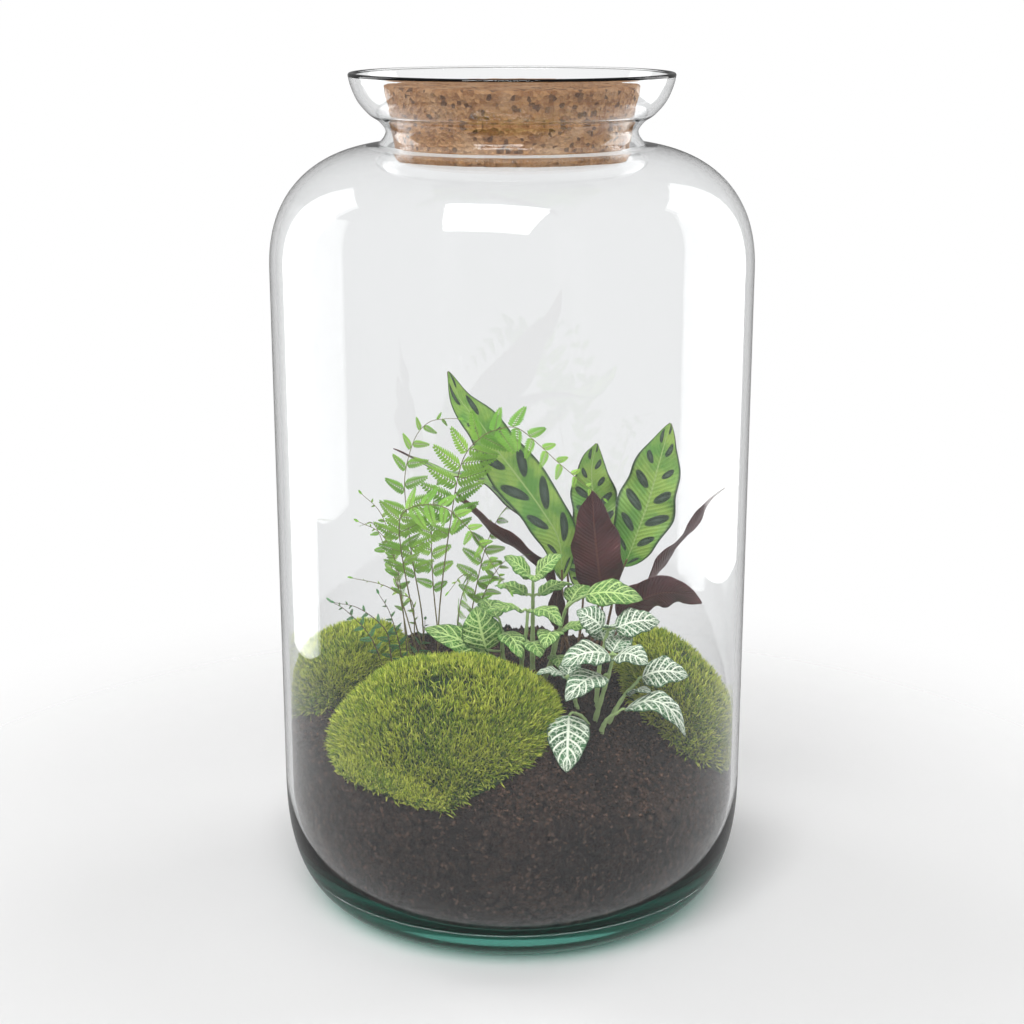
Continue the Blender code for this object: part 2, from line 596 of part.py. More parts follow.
def calathea_leaf(number, route, half_width, starts, look_foot, look_tip):
    centres = even(through(rooted("calathea", route), 6), 14)
    widths, thicks, looks = [], [], []
    for k in range(len(centres)):
        share = k / (len(centres) - 1)
        blade = max(0.0, (share - starts) / (1 - starts))
        widths.append(max(PETIOLE_R * (1 - 0.6 * share), half_width * blade_width(blade, 0.75)))
        thicks.append(PETIOLE_R + (BLADE_T - PETIOLE_R) * min(1.0, share / starts))
        looks.append(Vector(look_foot).lerp(Vector(look_tip), blade))
    mesh_data = bmesh.new()
    loft(mesh_data, centres, widths, thicks, looks, 0.12, True)
    obj = add_object(f"calathea_leaf_{number}", mesh_data, "calathea")
    smooth(obj, math.radians(60))


def pinna_length(share):
    """How the side branches of a frond shorten from its widest place to its tip."""
    return min(1.0, 0.55 + 2.2 * share) * (1 - share) ** 0.7 + 0.06


def frond(plant, number, route, longest, starts, pairs, look):
    """A stalk with side branches in pairs, each one a tapered strip."""
    look = Vector(look)
    curve = even(through(rooted(plant, route), 6), STALK_STEPS)
    radii = [RACHIS_R * (1 - 0.45 * k / STALK_STEPS) for k in range(STALK_STEPS + 1)]
    mesh_data = bmesh.new()
    loft(mesh_data, curve, radii, radii, [look] * len(curve))
    obj = add_object(f"{plant}_frond_{number}", mesh_data, plant)
    branches = bmesh.new()
    step = (1 - starts) * sum((b - a).length for a, b in zip(curve, curve[1:])) / pairs
    for k in range(pairs):
        share = (k + 0.3) / pairs
        foot, along = point_on(curve, starts + (1 - starts) * share * 0.98)
        side = along.cross(look).normalized()
        upper = side.cross(along).normalized()
        length = longest * pinna_length(share)
        width = min(step * 0.40, length * 0.24)
        spine, widths = [], []
        for reach in (-1, 0, 1):
            spread = side * reach * 0.93 + along * abs(reach) * 0.36 - upper * abs(reach) * 0.2
            spine.append(foot + spread * length)
            widths.append(width * (1 - 0.85 * abs(reach)))
        loft(branches, spine, widths, [PINNA_T] * 3, [upper] * 3)
    other = helper(add_object(f"{plant}_branches_{number}", branches, plant))
    combine(obj, other, "UNION").use_self = True


def fittonia_stem(plant, number, route, leaves):
    """An upright fleshy stem with its leaves, each on a short stalk."""
    curve = even(through(rooted(plant, route), 6), 6)
    radii = [FITTONIA_STEM_R * (1 - 0.45 * k / 6) for k in range(7)]
    mesh_data = bmesh.new()
    loft(mesh_data, curve, radii, radii, [Vector((0, -1, 0.05))] * 7)
    obj = add_object(f"{plant}_stem_{number}", mesh_data, plant)
    blades = bmesh.new()
    for share, stalk, blade, half_width, arch, look in leaves:
        foot, _ = point_on(curve, share * 0.97)
        start = foot + Vector(stalk)
        blade, look = Vector(blade), Vector(look)
        upper = (look - blade * (look.dot(blade) / blade.length_squared)).normalized()
        spine, widths = [foot], [FITTONIA_PETIOLE_R]
        for t in (0, 0.15, 0.45, 0.75, 1):
            spine.append(start + blade * t + upper * arch * blade.length * 4 * t * (1 - t) * 0.9)
            widths.append(max(0.07 - 0.05 * t, half_width * blade_width(t, 0.7)))
        thicks = [FITTONIA_PETIOLE_R] * 2 + [BLADE_T * 1.4] + [BLADE_T] * 3
        loft(blades, spine, widths, thicks, [upper] * len(spine), 0.15)
    other = helper(add_object(f"{plant}_leaves_{number}", blades, plant))
    combine(obj, other, "UNION").use_self = True


def build():
    clear_scene()
    glass_jar()
    cork_stopper()
    gravel_layer()
    soil()
    for plant in ROOT_BALLS:
        plug(f"{plant}_root_ball", plant, 0.0, 0.0)
    for cushion in MOSSES:
        moss(*cushion)
    for number, leaf in enumerate(CALATHEA, 1):
        calathea_leaf(number, *leaf)
    for plant, fronds in (("fern", FERN), ("button_fern", BUTTON_FERN)):
        for number, spec in enumerate(fronds, 1):
            frond(plant, number, *spec)
    for plant, stems in (("fittonia_left", FITTONIA_LEFT), ("fittonia_right", FITTONIA_RIGHT)):
        for number, spec in enumerate(stems, 1):
            fittonia_stem(plant, number, *spec)


build()
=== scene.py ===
"""Looks of the glass plant terrarium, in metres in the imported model's frame. Plant routes are in cm."""

import math

import bpy
import numpy as np
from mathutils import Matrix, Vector, noise


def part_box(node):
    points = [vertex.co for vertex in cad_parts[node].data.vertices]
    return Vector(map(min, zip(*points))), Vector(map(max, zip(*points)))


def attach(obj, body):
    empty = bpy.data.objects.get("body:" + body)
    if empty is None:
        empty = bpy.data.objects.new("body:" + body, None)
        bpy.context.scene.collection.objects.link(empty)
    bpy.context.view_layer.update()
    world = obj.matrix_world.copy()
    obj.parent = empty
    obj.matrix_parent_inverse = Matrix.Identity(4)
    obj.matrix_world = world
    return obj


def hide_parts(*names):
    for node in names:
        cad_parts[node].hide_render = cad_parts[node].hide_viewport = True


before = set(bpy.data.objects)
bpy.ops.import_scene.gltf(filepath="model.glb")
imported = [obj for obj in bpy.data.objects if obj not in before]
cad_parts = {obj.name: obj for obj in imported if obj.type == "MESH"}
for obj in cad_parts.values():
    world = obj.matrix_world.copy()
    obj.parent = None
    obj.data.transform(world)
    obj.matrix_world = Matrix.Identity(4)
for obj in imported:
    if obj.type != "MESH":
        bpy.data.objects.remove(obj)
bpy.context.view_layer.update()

rng = np.random.default_rng(11)
CM = 0.01

# The jar, as the model has it
JAR_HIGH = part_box("glass_jar")[1]
JAR_HEIGHT, BODY_R = JAR_HIGH.z, JAR_HIGH.x
GAP = 0.0003
WALL = 0.0035
FLOOR_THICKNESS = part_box("gravel_layer")[0].z - GAP
FOOT_R, FOOT_RING, PUNT = 0.098, 0.016, 0.004
CORNER_HEIGHT, CORNER_POWER = 0.072, 2.5
SHOULDER_Z, SHOULDER_RISE, SHOULDER_REACH, SHOULDER_POWER = 0.368, 0.069, 0.075, 2.34
NECK_R, NECK_WALL, NECK_Z = 0.0695, 0.003, 0.4443
LIP_R = 0.0015
JAR_SIDES, CORK_SIDES, SOIL_SIDES = 160, 220, 300
CORK_LOW_R, CORK_EDGE = 0.0638, 0.0015

# The soil's surface, and the moss on it: centre, half sizes and height
SOIL_AT_WALL, SOIL_TILT_X, SOIL_TILT_Y, SOIL_TOP, SOIL_POWER = 0.0955, -0.0125, 0.009, 0.133, 3
GRAVEL_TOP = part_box("gravel_layer")[1].z
MOSSES = (
    ("moss_front", (-0.040, -0.073), (0.062, 0.051), 0.024),
    ("moss_left", (-0.103, 0.015), (0.036, 0.047), 0.026),
    ("moss_right", (0.100, -0.010), (0.038, 0.050), 0.031),
)
FRONT_MOSS_BLADES, SIDE_MOSS_BLADES = 34000, 22000
MOSS_BLADE_LENGTH, MOSS_BLADE_HALF_WIDTH = (0.0040, 0.0085), (0.00030, 0.00052)
CRUMBS, CRUMB_LEAST, CRUMB_SPREAD = 9000, 0.0007, 0.0022

# How far above its root ball a stem's foot is, and how far it then rises upright, in centimetres
STEM_LIFT, STEM_RISE = 0.035, 0.5

# Leaves: how much they fold up, wave and ripple, as shares of their width, and how thick they are in metres
CALATHEA_FOLD, CALATHEA_WAVE, CALATHEA_RIDGE = 0.16, 0.16, 0.012
CALATHEA_THICKNESS, FITTONIA_THICKNESS = 0.00035, 0.0003
PINNA_DROOP, PINNA_LEAN = 0.16, 0.36
FITTONIA_LONGER, FITTONIA_WIDER, FITTONIA_WAVE = 1.12, 1.18, 0.10
STALK_MARK = 2.0  # the V coordinate of stalks, where leaves run from 0 to 1

# The studio: the camera, the white around the jar, and each softbox's place, size, watts and aim
CAMERA_PLACE, CAMERA_DROP, CAMERA_LENS, CAMERA_SENSOR = (0, -1.067, 0.519), 0.268, 67.06, 36
AMBIENT = 0.22
FLOOR_REACH, FLOOR_LEVEL, FLOOR_FADE, FLOOR_UNSEEN = 1.0, -0.0002, (0.22, 0.55), 0.85
SOFTBOXES = (
    ("left_box", (-1.21, 0.62, 0.65), (0.62, 1.9), 9, (0, 0, 0.65)),
    ("right_box", (1.19, 0.66, 0.70), (0.85, 1.8), 10, (0, 0, 0.70)),
    ("top_box", (-0.2, -0.75, 1.75), (1.0, 0.8), 19, (0, 0, 0.2)),
)

# Each calathea leaf: its route from the foot of its stalk to its tip, half the blade's width,
# where the blade starts along the route, and which way its upper side looks at the foot and the tip
CALATHEA = (
    (
        [(3.4, 1.2), (3.0, 0.6, 17.0), (2.8, 0.2, 20.6), (1.9, 0, 22.5), (0.4, -0.2, 24.7),
         (-0.9, -0.4, 26.5), (-1.7, -0.6, 27.9), (-2.9, -0.8, 29.4), (-3.6, -1.0, 31.1)],
        1.45, 0.30, (0.1, -1, 0.3), (0.3, -1, 0.3),
    ),
    (
        [(3.0, 2.6), (3.4, 2.4, 17.1), (2.9, 2.2, 19.9), (1.9, 2.2, 21.5), (0.4, 2.2, 22.9),
         (-1.3, 2.2, 24.1), (-3.4, 2.4, 24.2), (-5.2, 2.5, 24.9), (-7.0, 2.6, 25.8)],
        1.25, 0.36, (0.2, -1, 0.5), (0.5, 0.4, 0.9),
    ),
    (
        [(2.5, 1.8), (2.6, 1.4, 16.6), (2.0, 1.2, 18.7), (0.7, 1.1, 19.9), (-0.7, 1.0, 21.0),
         (-2.2, 0.9, 22.4), (-3.3, 0.9, 23.6)],
        0.75, 0.36, (0.5, 0.6, 0.6), (0.5, 0.6, 0.6),
    ),
    (
        [(4.8, 3.4), (5.3, 3.6, 16.2), (5.2, 3.8, 19.2), (5.0, 4.2, 21.6), (4.8, 4.5, 24.0),
         (5.1, 4.7, 25.6)],
        1.45, 0.46, (0.1, -1, 0.2), (0.1, -1, 0.4),
    ),
    (
        [(5.3, 2.4), (5.7, 2.4, 14.6), (6.3, 2.3, 17.5), (7.1, 2.2, 19.7), (8.1, 2.2, 22.7),
         (8.7, 2.2, 25.1),
         (9.3, 2.2, 27.4)],
        1.75, 0.42, (-0.3, -1, 0.2), (-0.3, -1, 0.3),
    ),
    (
        [(4.4, 1.0), (5.2, 0.6, 14.8), (5.3, 0.2, 17.4), (5.0, -0.4, 19.7), (4.7, -0.9, 22.4),
         (4.6, -1.2, 24.2)],
        1.45, 0.38, (0, 1, 0.2), (0, 1, 0.3),
    ),
    (
        [(5.6, 1.4), (6.4, 1.2, 14.6), (7.8, 0.8, 17.4), (8.9, 0.4, 19.5), (10.4, 0.1, 21.5),
         (11.5, 0, 23.3),
         (12.4, 0, 24.1)],
        0.85, 0.36, (-0.7, 0.5, 0.6), (-0.7, 0.5, 0.6),
    ),
    (
        [(5.0, 0.3), (5.9, -0.4, 14.8), (6.6, -1.1, 17.0), (7.4, -1.4, 17.7), (8.4, -1.6, 18.2),
         (9.6, -1.9, 18.3),
         (10.9, -2.2, 17.8)],
        1.15, 0.45, (0, 1, 0.35), (0, 1, 0.4),
    ),
    (
        [(3.7, 0.4), (3.3, -0.3, 14.6), (2.8, -0.7, 16.2), (2.6, -1.0, 17.4), (2.7, -1.3, 18.6)],
        0.55, 0.45, (0, 1, 0.3), (0, 1, 0.3),
    ),
    (
        [(4.0, 2.7), (4.3, 2.9, 16.6), (4.0, 3.0, 18.6), (3.5, 3.0, 20.2)],
        0.8, 0.55, (0.4, -1, 0.2), (0.4, -1, 0.2),
    ),
)

# Each fern frond: its route, the length of its longest side branch, where they start, how many
# pairs, and which way its upper side looks
FERN = (
    ([(-5.2, 0.3), (-5.3, -0.1, 16.4), (-5.8, -0.6, 20.1), (-6.1, -0.8, 23.2), (-6.1, -0.9, 25.2),
      (-5.5, -1.2, 27.3), (-4.7, -1.6, 28.3), (-3.8, -2.0, 28.6),
       (-3.0, -2.4, 28.7)], 2.0, 0.42, 8, (-0.3, -1, 0.3)),
    ([(-4.4, -0.6), (-4.2, -0.8, 17.3), (-3.5, -1.6, 22.6), (-2.8, -2.2, 26.2), (-1.7, -2.6, 27.7),
      (-0.7, -2.8, 28.2), (0.3, -3.0, 28.3), (1.5, -3.2, 27.4), (2.6, -3.4, 26.4), (4.3, -3.6, 25.0),
      (5.1, -3.6, 24.4)], 2.2, 0.46, 13, (0.3, -1, 0.6)),
    ([(-5.0, -0.6), (-5.9, -1.2, 17.6), (-6.4, -2.4, 22.3), (-5.7, -3.0, 23.7), (-3.9, -3.8, 24.0),
      (-2.6, -4.4, 23.1), (-1.7, -4.8, 22.0), (-0.7, -5.0, 20.3),
       (-0.1, -5.0, 19.4)], 1.7, 0.45, 11, (0, -1, 0.8)),
    ([(-6.2, 0.5), (-6.6, 0.3, 18.3), (-7.0, 0.2, 20.1), (-7.7, 0, 21.4), (-8.9, -0.2, 22.1)],
     0.7, 0.45, 6, (0, -1, 0.6)),
    ([(-6.1, 1.4), (-6.8, 1.9, 17.6), (-7.2, 2.5, 20.0), (-7.9, 3.0, 21.8), (-9.0, 3.4, 22.8)],
     0.9, 0.50, 6, (-0.5, -1, 0.6)),
    ([(-5.8, -0.6), (-5.7, -1.8, 17.5), (-6.5, -2.0, 18.3), (-7.5, -2.1, 18.9), (-9.1, -2.2, 19.3)],
     0.45, 0.50, 6, (0.2, -0.6, 1)),
    ([(-3.4, -0.5), (-3.0, -2.0, 17.6), (-2.5, -3.4, 19.6), (-2.8, -4.6, 20.2), (-3.5, -5.3, 19.5)],
     1.2, 0.42, 7, (-0.6, -0.6, 1)),
    ([(-2.8, 1.8), (-2.2, 2.6, 17.0), (-1.4, 3.6, 20.0), (-0.2, 4.6, 21.8), (1.4, 5.4, 22.0)],
     1.6, 0.40, 7, (0.3, 0.6, 1)),
    ([(-4.4, 3.0), (-4.8, 3.8, 17.0), (-4.9, 4.8, 20.6), (-4.6, 6.0, 22.8), (-4.2, 7.6, 23.4)],
     1.7, 0.40, 7, (0, 0.6, 1)),
    ([(-5.8, 2.4), (-6.8, 3.6, 16.4), (-7.8, 5.0, 19.0), (-8.6, 6.2, 20.2), (-9.4, 7.2, 19.8)],
     1.3, 0.42, 6, (-0.5, 0.4, 1)),
    ([(-2.6, 0.6), (-2.1, 0.4, 16.0), (-1.4, 0.0, 18.2), (-0.4, -0.4, 19.8), (0.8, -0.6, 20.2)],
     1.1, 0.45, 6, (0.3, 0.3, 1)),
)
BUTTON_FERN = (
    ([(-6.9, -2.5), (-7.0, -2.6, 14.9), (-7.3, -2.7, 16.4), (-8.7, -2.9, 17.7), (-10.1, -3.0, 18.1)],
     0.75, 0.35, 5, (0.4, -1, 1)),
    ([(-6.4, -2.5), (-6.4, -3.0, 15.2), (-6.9, -3.6, 17.6),
     (-7.5, -3.9, 18.9)], 0.7, 0.35, 5, (0.3, -1, 0.3)),
    ([(-6.1, -1.8), (-5.4, -2.6, 15.0), (-5.0, -3.6, 16.5),
     (-4.9, -4.3, 17.5)], 0.7, 0.35, 5, (0, -1, 0.5)),
    ([(-7.4, -1.5), (-8.2, -1.2, 15.3), (-9.6, -0.8, 16.8), (-10.6, -0.6, 17.4)], 0.7, 0.40, 5, (0, -1, 1)),
)

# Each fittonia stem: its route, then its leaves: where on the stem, the leaf stalk, the blade, half
# the blade's width, how far the blade arches, and which way its upper side looks
UP = (0, 0, 1)
FITTONIA_LEFT = (
    ([(-0.2, -2.7), (-0.5, -2.9, 14.6), (-0.6, -3.0, 16.2), (-0.7, -3.1, 17.0)], (
        (0.55, (-0.9, -0.5, 0.3), (-0.5, 0.3, 2.2), 1.0, 0.1, (-0.2, -1, 0.1)),
        (0.32, (-0.9, 0.1, 0.6), (-3.3, -0.3, 1.5), 0.75, 0.1, (0.2, -0.8, 0.8)),
        (0.85, (0.1, -0.4, 0.1), (0.9, -1.6, -0.8), 0.65, 0.2, UP),
        (1.0, (-0.2, 0.4, 0.2), (-0.8, 1.4, 0.5), 0.65, 0.15, UP))),
    ([(0.5, -3.0), (0.6, -3.3, 15.1), (0.8, -3.4, 16.4), (0.9, -3.4, 17.8)], (
        (1.0, (0.2, -0.2, 0.1), (1.5, -1.0, -0.5), 0.75, 0.25, UP),
        (1.0, (-0.3, -0.2, 0.1), (-1.8, -0.8, 0.2), 0.75, 0.15, UP),
        (0.6, (0.3, -0.4, 0.1), (0.5, -1.6, -0.2), 0.65, 0.2, UP))),
    ([(1.2, -1.4), (1.2, -1.8, 16.5), (1.2, -2.4, 18.6), (1.2, -2.6, 19.4)], (
        (1.0, (-0.2, 0, 0.3), (-1.3, -0.2, 1.1), 0.6, 0.1, (0.5, -0.6, 1)),
        (1.0, (0.2, 0, 0.3), (1.3, -0.2, 1.2), 0.6, 0.1, (-0.5, -0.6, 1)),
        (1.0, (0, -0.3, 0.2), (0.1, -1.3, 0.3), 0.6, 0.2, UP),
        (0.82, (0.4, 0.2, 0.1), (1.7, 0.9, 0.3), 0.65, 0.15, UP),
        (0.82, (-0.4, 0.2, 0.1), (-1.6, 0.9, 0.2), 0.65, 0.15, UP))),
    ([(1.9, -3.1), (2.2, -3.4, 14.6), (2.4, -3.6, 15.8), (2.5, -3.7, 16.6)], (
        (1.0, (0.3, 0, 0.1), (1.7, -0.3, 0.1), 0.7, 0.2, UP),
        (1.0, (-0.1, -0.3, 0.1), (-0.5, -1.6, -0.3), 0.65, 0.25, UP),
        (0.6, (0.2, -0.2, 0), (0.2, -1.0, -0.3), 0.5, 0.25, UP))),
    ([(2.2, -1.7), (2.7, -2.2, 16.0), (3.1, -2.9, 17.8)], (
        (1.0, (1.1, -0.9, 1.1), (2.8, -0.8, 0.0), 0.8, 0.15, (0, -0.7, 1)),
        (1.0, (0.3, 0.3, 0.3), (0.9, 1.5, 0.4), 0.65, 0.15, UP))),
)
FITTONIA_RIGHT = (
    ([(4.6, -6.3), (5.1, -6.4, 14.0), (5.4, -6.6, 15.2), (5.6, -6.7, 16.3)], (
        (1.0, (-0.2, -0.1, 0.1), (-2.4, -1.0, -0.2), 0.9, 0.2, (0, -0.4, 1)),
        (0.75, (-0.3, -0.4, 0.1), (-1.9, -1.9, -0.6), 0.85, 0.2, (0, -0.3, 1)),
        (1.0, (0.2, -0.2, 0.1), (1.4, -1.3, 0.0), 0.8, 0.2, (0, -0.4, 1)),
        (1.0, (0, 0.3, 0.1), (0.9, 1.2, 0.5), 0.7, 0.15, UP))),
    ([(5.4, -6.2), (6.2, -6.3, 13.6), (7.0, -6.4, 14.6)], (
        (1.0, (0.3, 0, 0.3), (2.2, -0.4, 0.2), 0.95, 0.2, (-0.2, -0.5, 1)),
        (0.7, (0.3, -0.3, 0.1), (0.9, -1.1, 0.5), 0.5, 0.2, UP))),
    ([(5.0, -7.1), (5.3, -7.3, 12.7), (5.9, -7.5, 13.2)], (
        (1.0, (0.4, -0.1, 0.2), (2.8, -1.1, -1.0), 0.85, 0.45, (0.1, -0.3, 1)),)),
    ([(4.3, -6.9), (3.9, -7.0, 12.7), (3.4, -7.1, 13.0)], (
        (1.0, (-0.3, -0.2, -0.1), (-0.2, -3.1, -1.7), 1.0, 0.12, (0, -0.6, 1)),)),
    ([(4.7, -5.3), (4.9, -5.4, 15.0), (5.2, -5.4, 16.6), (5.4, -5.4, 17.4)], (
        (1.0, (-0.3, 0, 0.1), (-1.3, 0.1, 0.9), 0.75, 0.15, (0.3, -0.8, 0.8)),
        (1.0, (0.4, 0, 0.1), (2.2, 0.2, 0.3), 0.85, 0.15, (-0.1, -0.6, 1)),
        (1.0, (0, -0.1, 0.2), (0.2, -0.8, 0.3), 0.4, 0.1, UP),
        (0.85, (0, 0.4, 0.1), (-0.4, 1.6, 0.1), 0.7, 0.2, UP))),
    ([(3.8, -5.6), (3.4, -5.8, 13.8), (3.1, -6.0, 14.6)], (
        (1.0, (-0.2, 0, 0.1), (-1.4, -0.3, 0.3), 0.6, 0.2, UP),
        (1.0, (0, 0.3, 0.1), (0.3, 1.3, 0.2), 0.55, 0.2, UP))),
)


# Nodes


class Look:
    """A material under construction, with short calls for the nodes it needs."""

    def __init__(self, name, roughness=0.5, **constants):
        self.material = bpy.data.materials.new(name)
        self.material.use_nodes = True
        self.nodes = self.material.node_tree.nodes
        self.links = self.material.node_tree.links
        self.shader = self.nodes["Principled BSDF"]
        self.output = self.nodes["Material Output"]
        self.shader.inputs["Roughness"].default_value = roughness
        for key, value in constants.items():
            self.shader.inputs[key.replace("_", " ")].default_value = value

    def put(self, socket, value):
        if isinstance(value, bpy.types.NodeSocket):
            self.links.new(value, socket)
        elif isinstance(value, tuple) and len(value) == 3 and socket.type == "RGBA":
            socket.default_value = (*value, 1.0)
        else:
            socket.default_value = value

    def math(self, operation, *values):
        node = self.nodes.new("ShaderNodeMath")
        node.operation = operation
        for socket, value in zip(node.inputs, values):
            self.put(socket, value)
        return node.outputs[0]

    def smooth(self, value, low, high):
        """0 below low, 1 above high, and eased between."""
        node = self.nodes.new("ShaderNodeMapRange")
        node.interpolation_type = "SMOOTHSTEP"
        self.put(node.inputs["Value"], value)
        node.inputs["From Min"].default_value = low
        node.inputs["From Max"].default_value = high
        return node.outputs["Result"]

    def mix(self, share, first, second):
        node = self.nodes.new("ShaderNodeMix")
        node.data_type = "RGBA"
        self.put(node.inputs["Factor"], share)
        colours = [socket for socket in node.inputs if socket.type == "RGBA"]
        self.put(colours[0], first)
        self.put(colours[1], second)
        return next(socket for socket in node.outputs if socket.type == "RGBA")

    def place(self):
        return self.nodes.new("ShaderNodeTexCoord").outputs["Object"]

    def uv(self):
        """The two UV coordinates: across and along."""
        split = self.nodes.new("ShaderNodeSeparateXYZ")
        self.links.new(self.nodes.new("ShaderNodeTexCoord").outputs["UV"], split.inputs[0])
        return split.outputs[0], split.outputs[1]

    def noise(self, scale, detail=3.0, roughness=0.55, vector=None):
        node = self.nodes.new("ShaderNodeTexNoise")
        node.inputs["Scale"].default_value = scale
        node.inputs["Detail"].default_value = detail
        node.inputs["Roughness"].default_value = roughness
        self.links.new(vector or self.place(), node.inputs["Vector"])
        return node.outputs["Fac"]

    def cells(self, scale, feature="F1", vector=None):
        node = self.nodes.new("ShaderNodeTexVoronoi")
        node.feature = feature
        node.inputs["Scale"].default_value = scale
        self.links.new(vector or self.place(), node.inputs["Vector"])
        return node

    def bump(self, height, strength, distance):
        node = self.nodes.new("ShaderNodeBump")
        node.inputs["Strength"].default_value = strength
        node.inputs["Distance"].default_value = distance
        self.links.new(height, node.inputs["Height"])
        self.links.new(node.outputs[0], self.shader.inputs["Normal"])

    def colour(self, value):
        self.put(self.shader.inputs["Base Color"], value)
        return self


def let_lamps_through(look):
    """Lamps shine through the glass as if it weren't there."""
    path = look.nodes.new("ShaderNodeLightPath")
    clear = look.nodes.new("ShaderNodeBsdfTransparent")
    mix = look.nodes.new("ShaderNodeMixShader")
    look.links.new(path.outputs["Is Shadow Ray"], mix.inputs[0])
    look.links.new(look.shader.outputs[0], mix.inputs[1])
    look.links.new(clear.outputs[0], mix.inputs[2])
    look.links.new(mix.outputs[0], look.output.inputs["Surface"])


def glass_look():
    look = Look("clear_glass", 0.0, IOR=1.5, Transmission_Weight=1.0)
    split = look.nodes.new("ShaderNodeSeparateXYZ")
    look.links.new(look.place(), split.inputs[0])
    in_base = look.math("SUBTRACT", 1.0, look.smooth(split.outputs[2], 0.004, 0.022))
    look.colour(look.mix(in_base, (0.928, 0.934, 0.937), (0.05, 0.50, 0.36)))
    rim = look.math("SUBTRACT", 1.0, look.smooth(split.outputs[2], 0.003, 0.011))
    clear = look.math("SUBTRACT", 1.0, look.math("MULTIPLY", rim, 0.55))
    look.put(look.shader.inputs["Transmission Weight"], clear)
    let_lamps_through(look)
    return look.material


def cork_look():
    look = Look("pressed_cork", 0.85, Specular_IOR_Level=0.25)
    grains = look.cells(420)
    fine = look.cells(900)
    tone = look.noise(55, 4)
    split = look.nodes.new("ShaderNodeSeparateColor")
    look.links.new(grains.outputs["Color"], split.inputs[0])
    colour = look.mix(split.outputs[0], (0.27, 0.115, 0.040), (0.52, 0.275, 0.115))
    colour = look.mix(look.smooth(tone, 0.45, 0.75), colour, (0.58, 0.37, 0.21))
    dark = look.math("MULTIPLY", look.smooth(split.outputs[1], 0.80, 0.90), 0.8)
    look.colour(look.mix(dark, colour, (0.085, 0.035, 0.015)))
    low = look.math("MULTIPLY", fine.outputs["Distance"], 0.5)
    height = look.math("ADD", grains.outputs["Distance"], low)
    look.bump(height, 0.9, 0.0012)
    return look.material


def soil_look(name, light, dark, lump):
    look = Look(name, 0.95, Specular_IOR_Level=0.2)
    grains = look.cells(lump)
    tone = look.noise(28, 5)
    fine = look.noise(420, 4, 0.7)
    colour = look.mix(look.smooth(tone, 0.35, 0.7), dark, light)
    specks = look.smooth(fine, 0.54, 0.66)
    colour = look.mix(specks, colour, tuple(3.2 * c for c in light))
    # Painted shade: darker in the gaps between the grains, where the bump sinks them
    grain_gap_shade = look.smooth(grains.outputs["Distance"], 0.45, 0.85)
    look.colour(look.mix(grain_gap_shade, colour, tuple(0.25 * c for c in dark)))
    height = look.math("SUBTRACT", look.math("MULTIPLY", fine, 0.9), grains.outputs["Distance"])
    look.bump(height, 1.0, 0.0025)
    return look.material


def moss_look():
    look = Look("moss_blades", 0.6, Specular_IOR_Level=0.3)
    single, along = look.uv()
    clumps = look.noise(45, 3)
    tip = look.mix(look.smooth(clumps, 0.35, 0.65), (0.26, 0.40, 0.012), (0.52, 0.60, 0.04))
    tip = look.mix(look.smooth(single, 0.45, 0.95), tip, (0.74, 0.78, 0.12))
    tip = look.mix(look.smooth(single, 0.30, 0.05), tip, (0.07, 0.17, 0.008))
    # Painted shade: each blade darkens to near black towards its foot, deep in the cushion
    look.colour(look.mix(look.smooth(along, 0.15, 0.85), (0.012, 0.040, 0.002), tip))
    return look.material


def from_midrib(look, across):
    """0 on the midrib and 1 on the leaf's edges."""
    return look.math("ABSOLUTE", look.math("SUBTRACT", look.math("MULTIPLY", across, 2.0), 1.0))


def calathea_veins(look, along, side):
    """Fine side veins that slant towards the tip."""
    slant = look.math("SUBTRACT", look.math("MULTIPLY", along, 210.0), look.math("MULTIPLY", side, 26.0))
    return look.math("SINE", slant)


def calathea_top():
    look = Look("calathea_upper", 0.38, Specular_IOR_Level=0.45, Coat_Weight=0.08)
    across, along = look.uv()
    side = from_midrib(look, across)
    left = look.math("GREATER_THAN", across, 0.5)
    row = look.math("SUBTRACT", look.math("MULTIPLY", along, 6.5), look.math("MULTIPLY", side, 0.85))
    row = look.math("ADD", row, look.math("MULTIPLY", left, 0.5))
    cell = look.math("FRACT", row)
    number = look.math("FLOOR", row)
    large = look.math("ABSOLUTE", look.math("SINE", look.math("MULTIPLY", number, 2.4)))
    reach = look.math("ADD", 0.22, look.math("MULTIPLY", large, 0.14))
    du = look.math("DIVIDE", look.math("SUBTRACT", side, 0.48), reach)
    dv = look.math("DIVIDE", look.math("SUBTRACT", cell, 0.5), look.math("MULTIPLY", reach, 0.72))
    far = look.math("ADD", look.math("MULTIPLY", du, du), look.math("MULTIPLY", dv, dv))
    spot = look.math("SUBTRACT", 1.0, look.smooth(far, 0.75, 1.1))
    tone = look.noise(60, 4)
    green = look.mix(look.smooth(tone, 0.35, 0.65), (0.115, 0.30, 0.045), (0.30, 0.46, 0.085))
    veins = calathea_veins(look, along, side)
    green = look.mix(look.math("MULTIPLY", look.smooth(veins, 0.2, 1.0), 0.22), green, (0.07, 0.22, 0.03))
    colour = look.mix(spot, green, (0.022, 0.048, 0.026))
    sheen = look.math("MULTIPLY", spot, look.math("SUBTRACT", 1.0, look.smooth(far, 0.0, 0.35)))
    colour = look.mix(look.math("MULTIPLY", sheen, 0.25), colour, (0.16, 0.22, 0.19))
    edge = look.smooth(side, 0.86, 0.97)
    colour = look.mix(edge, colour, (0.020, 0.060, 0.020))
    rib = look.math("SUBTRACT", 1.0, look.smooth(side, 0.015, 0.05))
    look.colour(look.mix(rib, colour, (0.34, 0.48, 0.16)))
    look.bump(veins, 0.25, 0.0004)
    return look.material


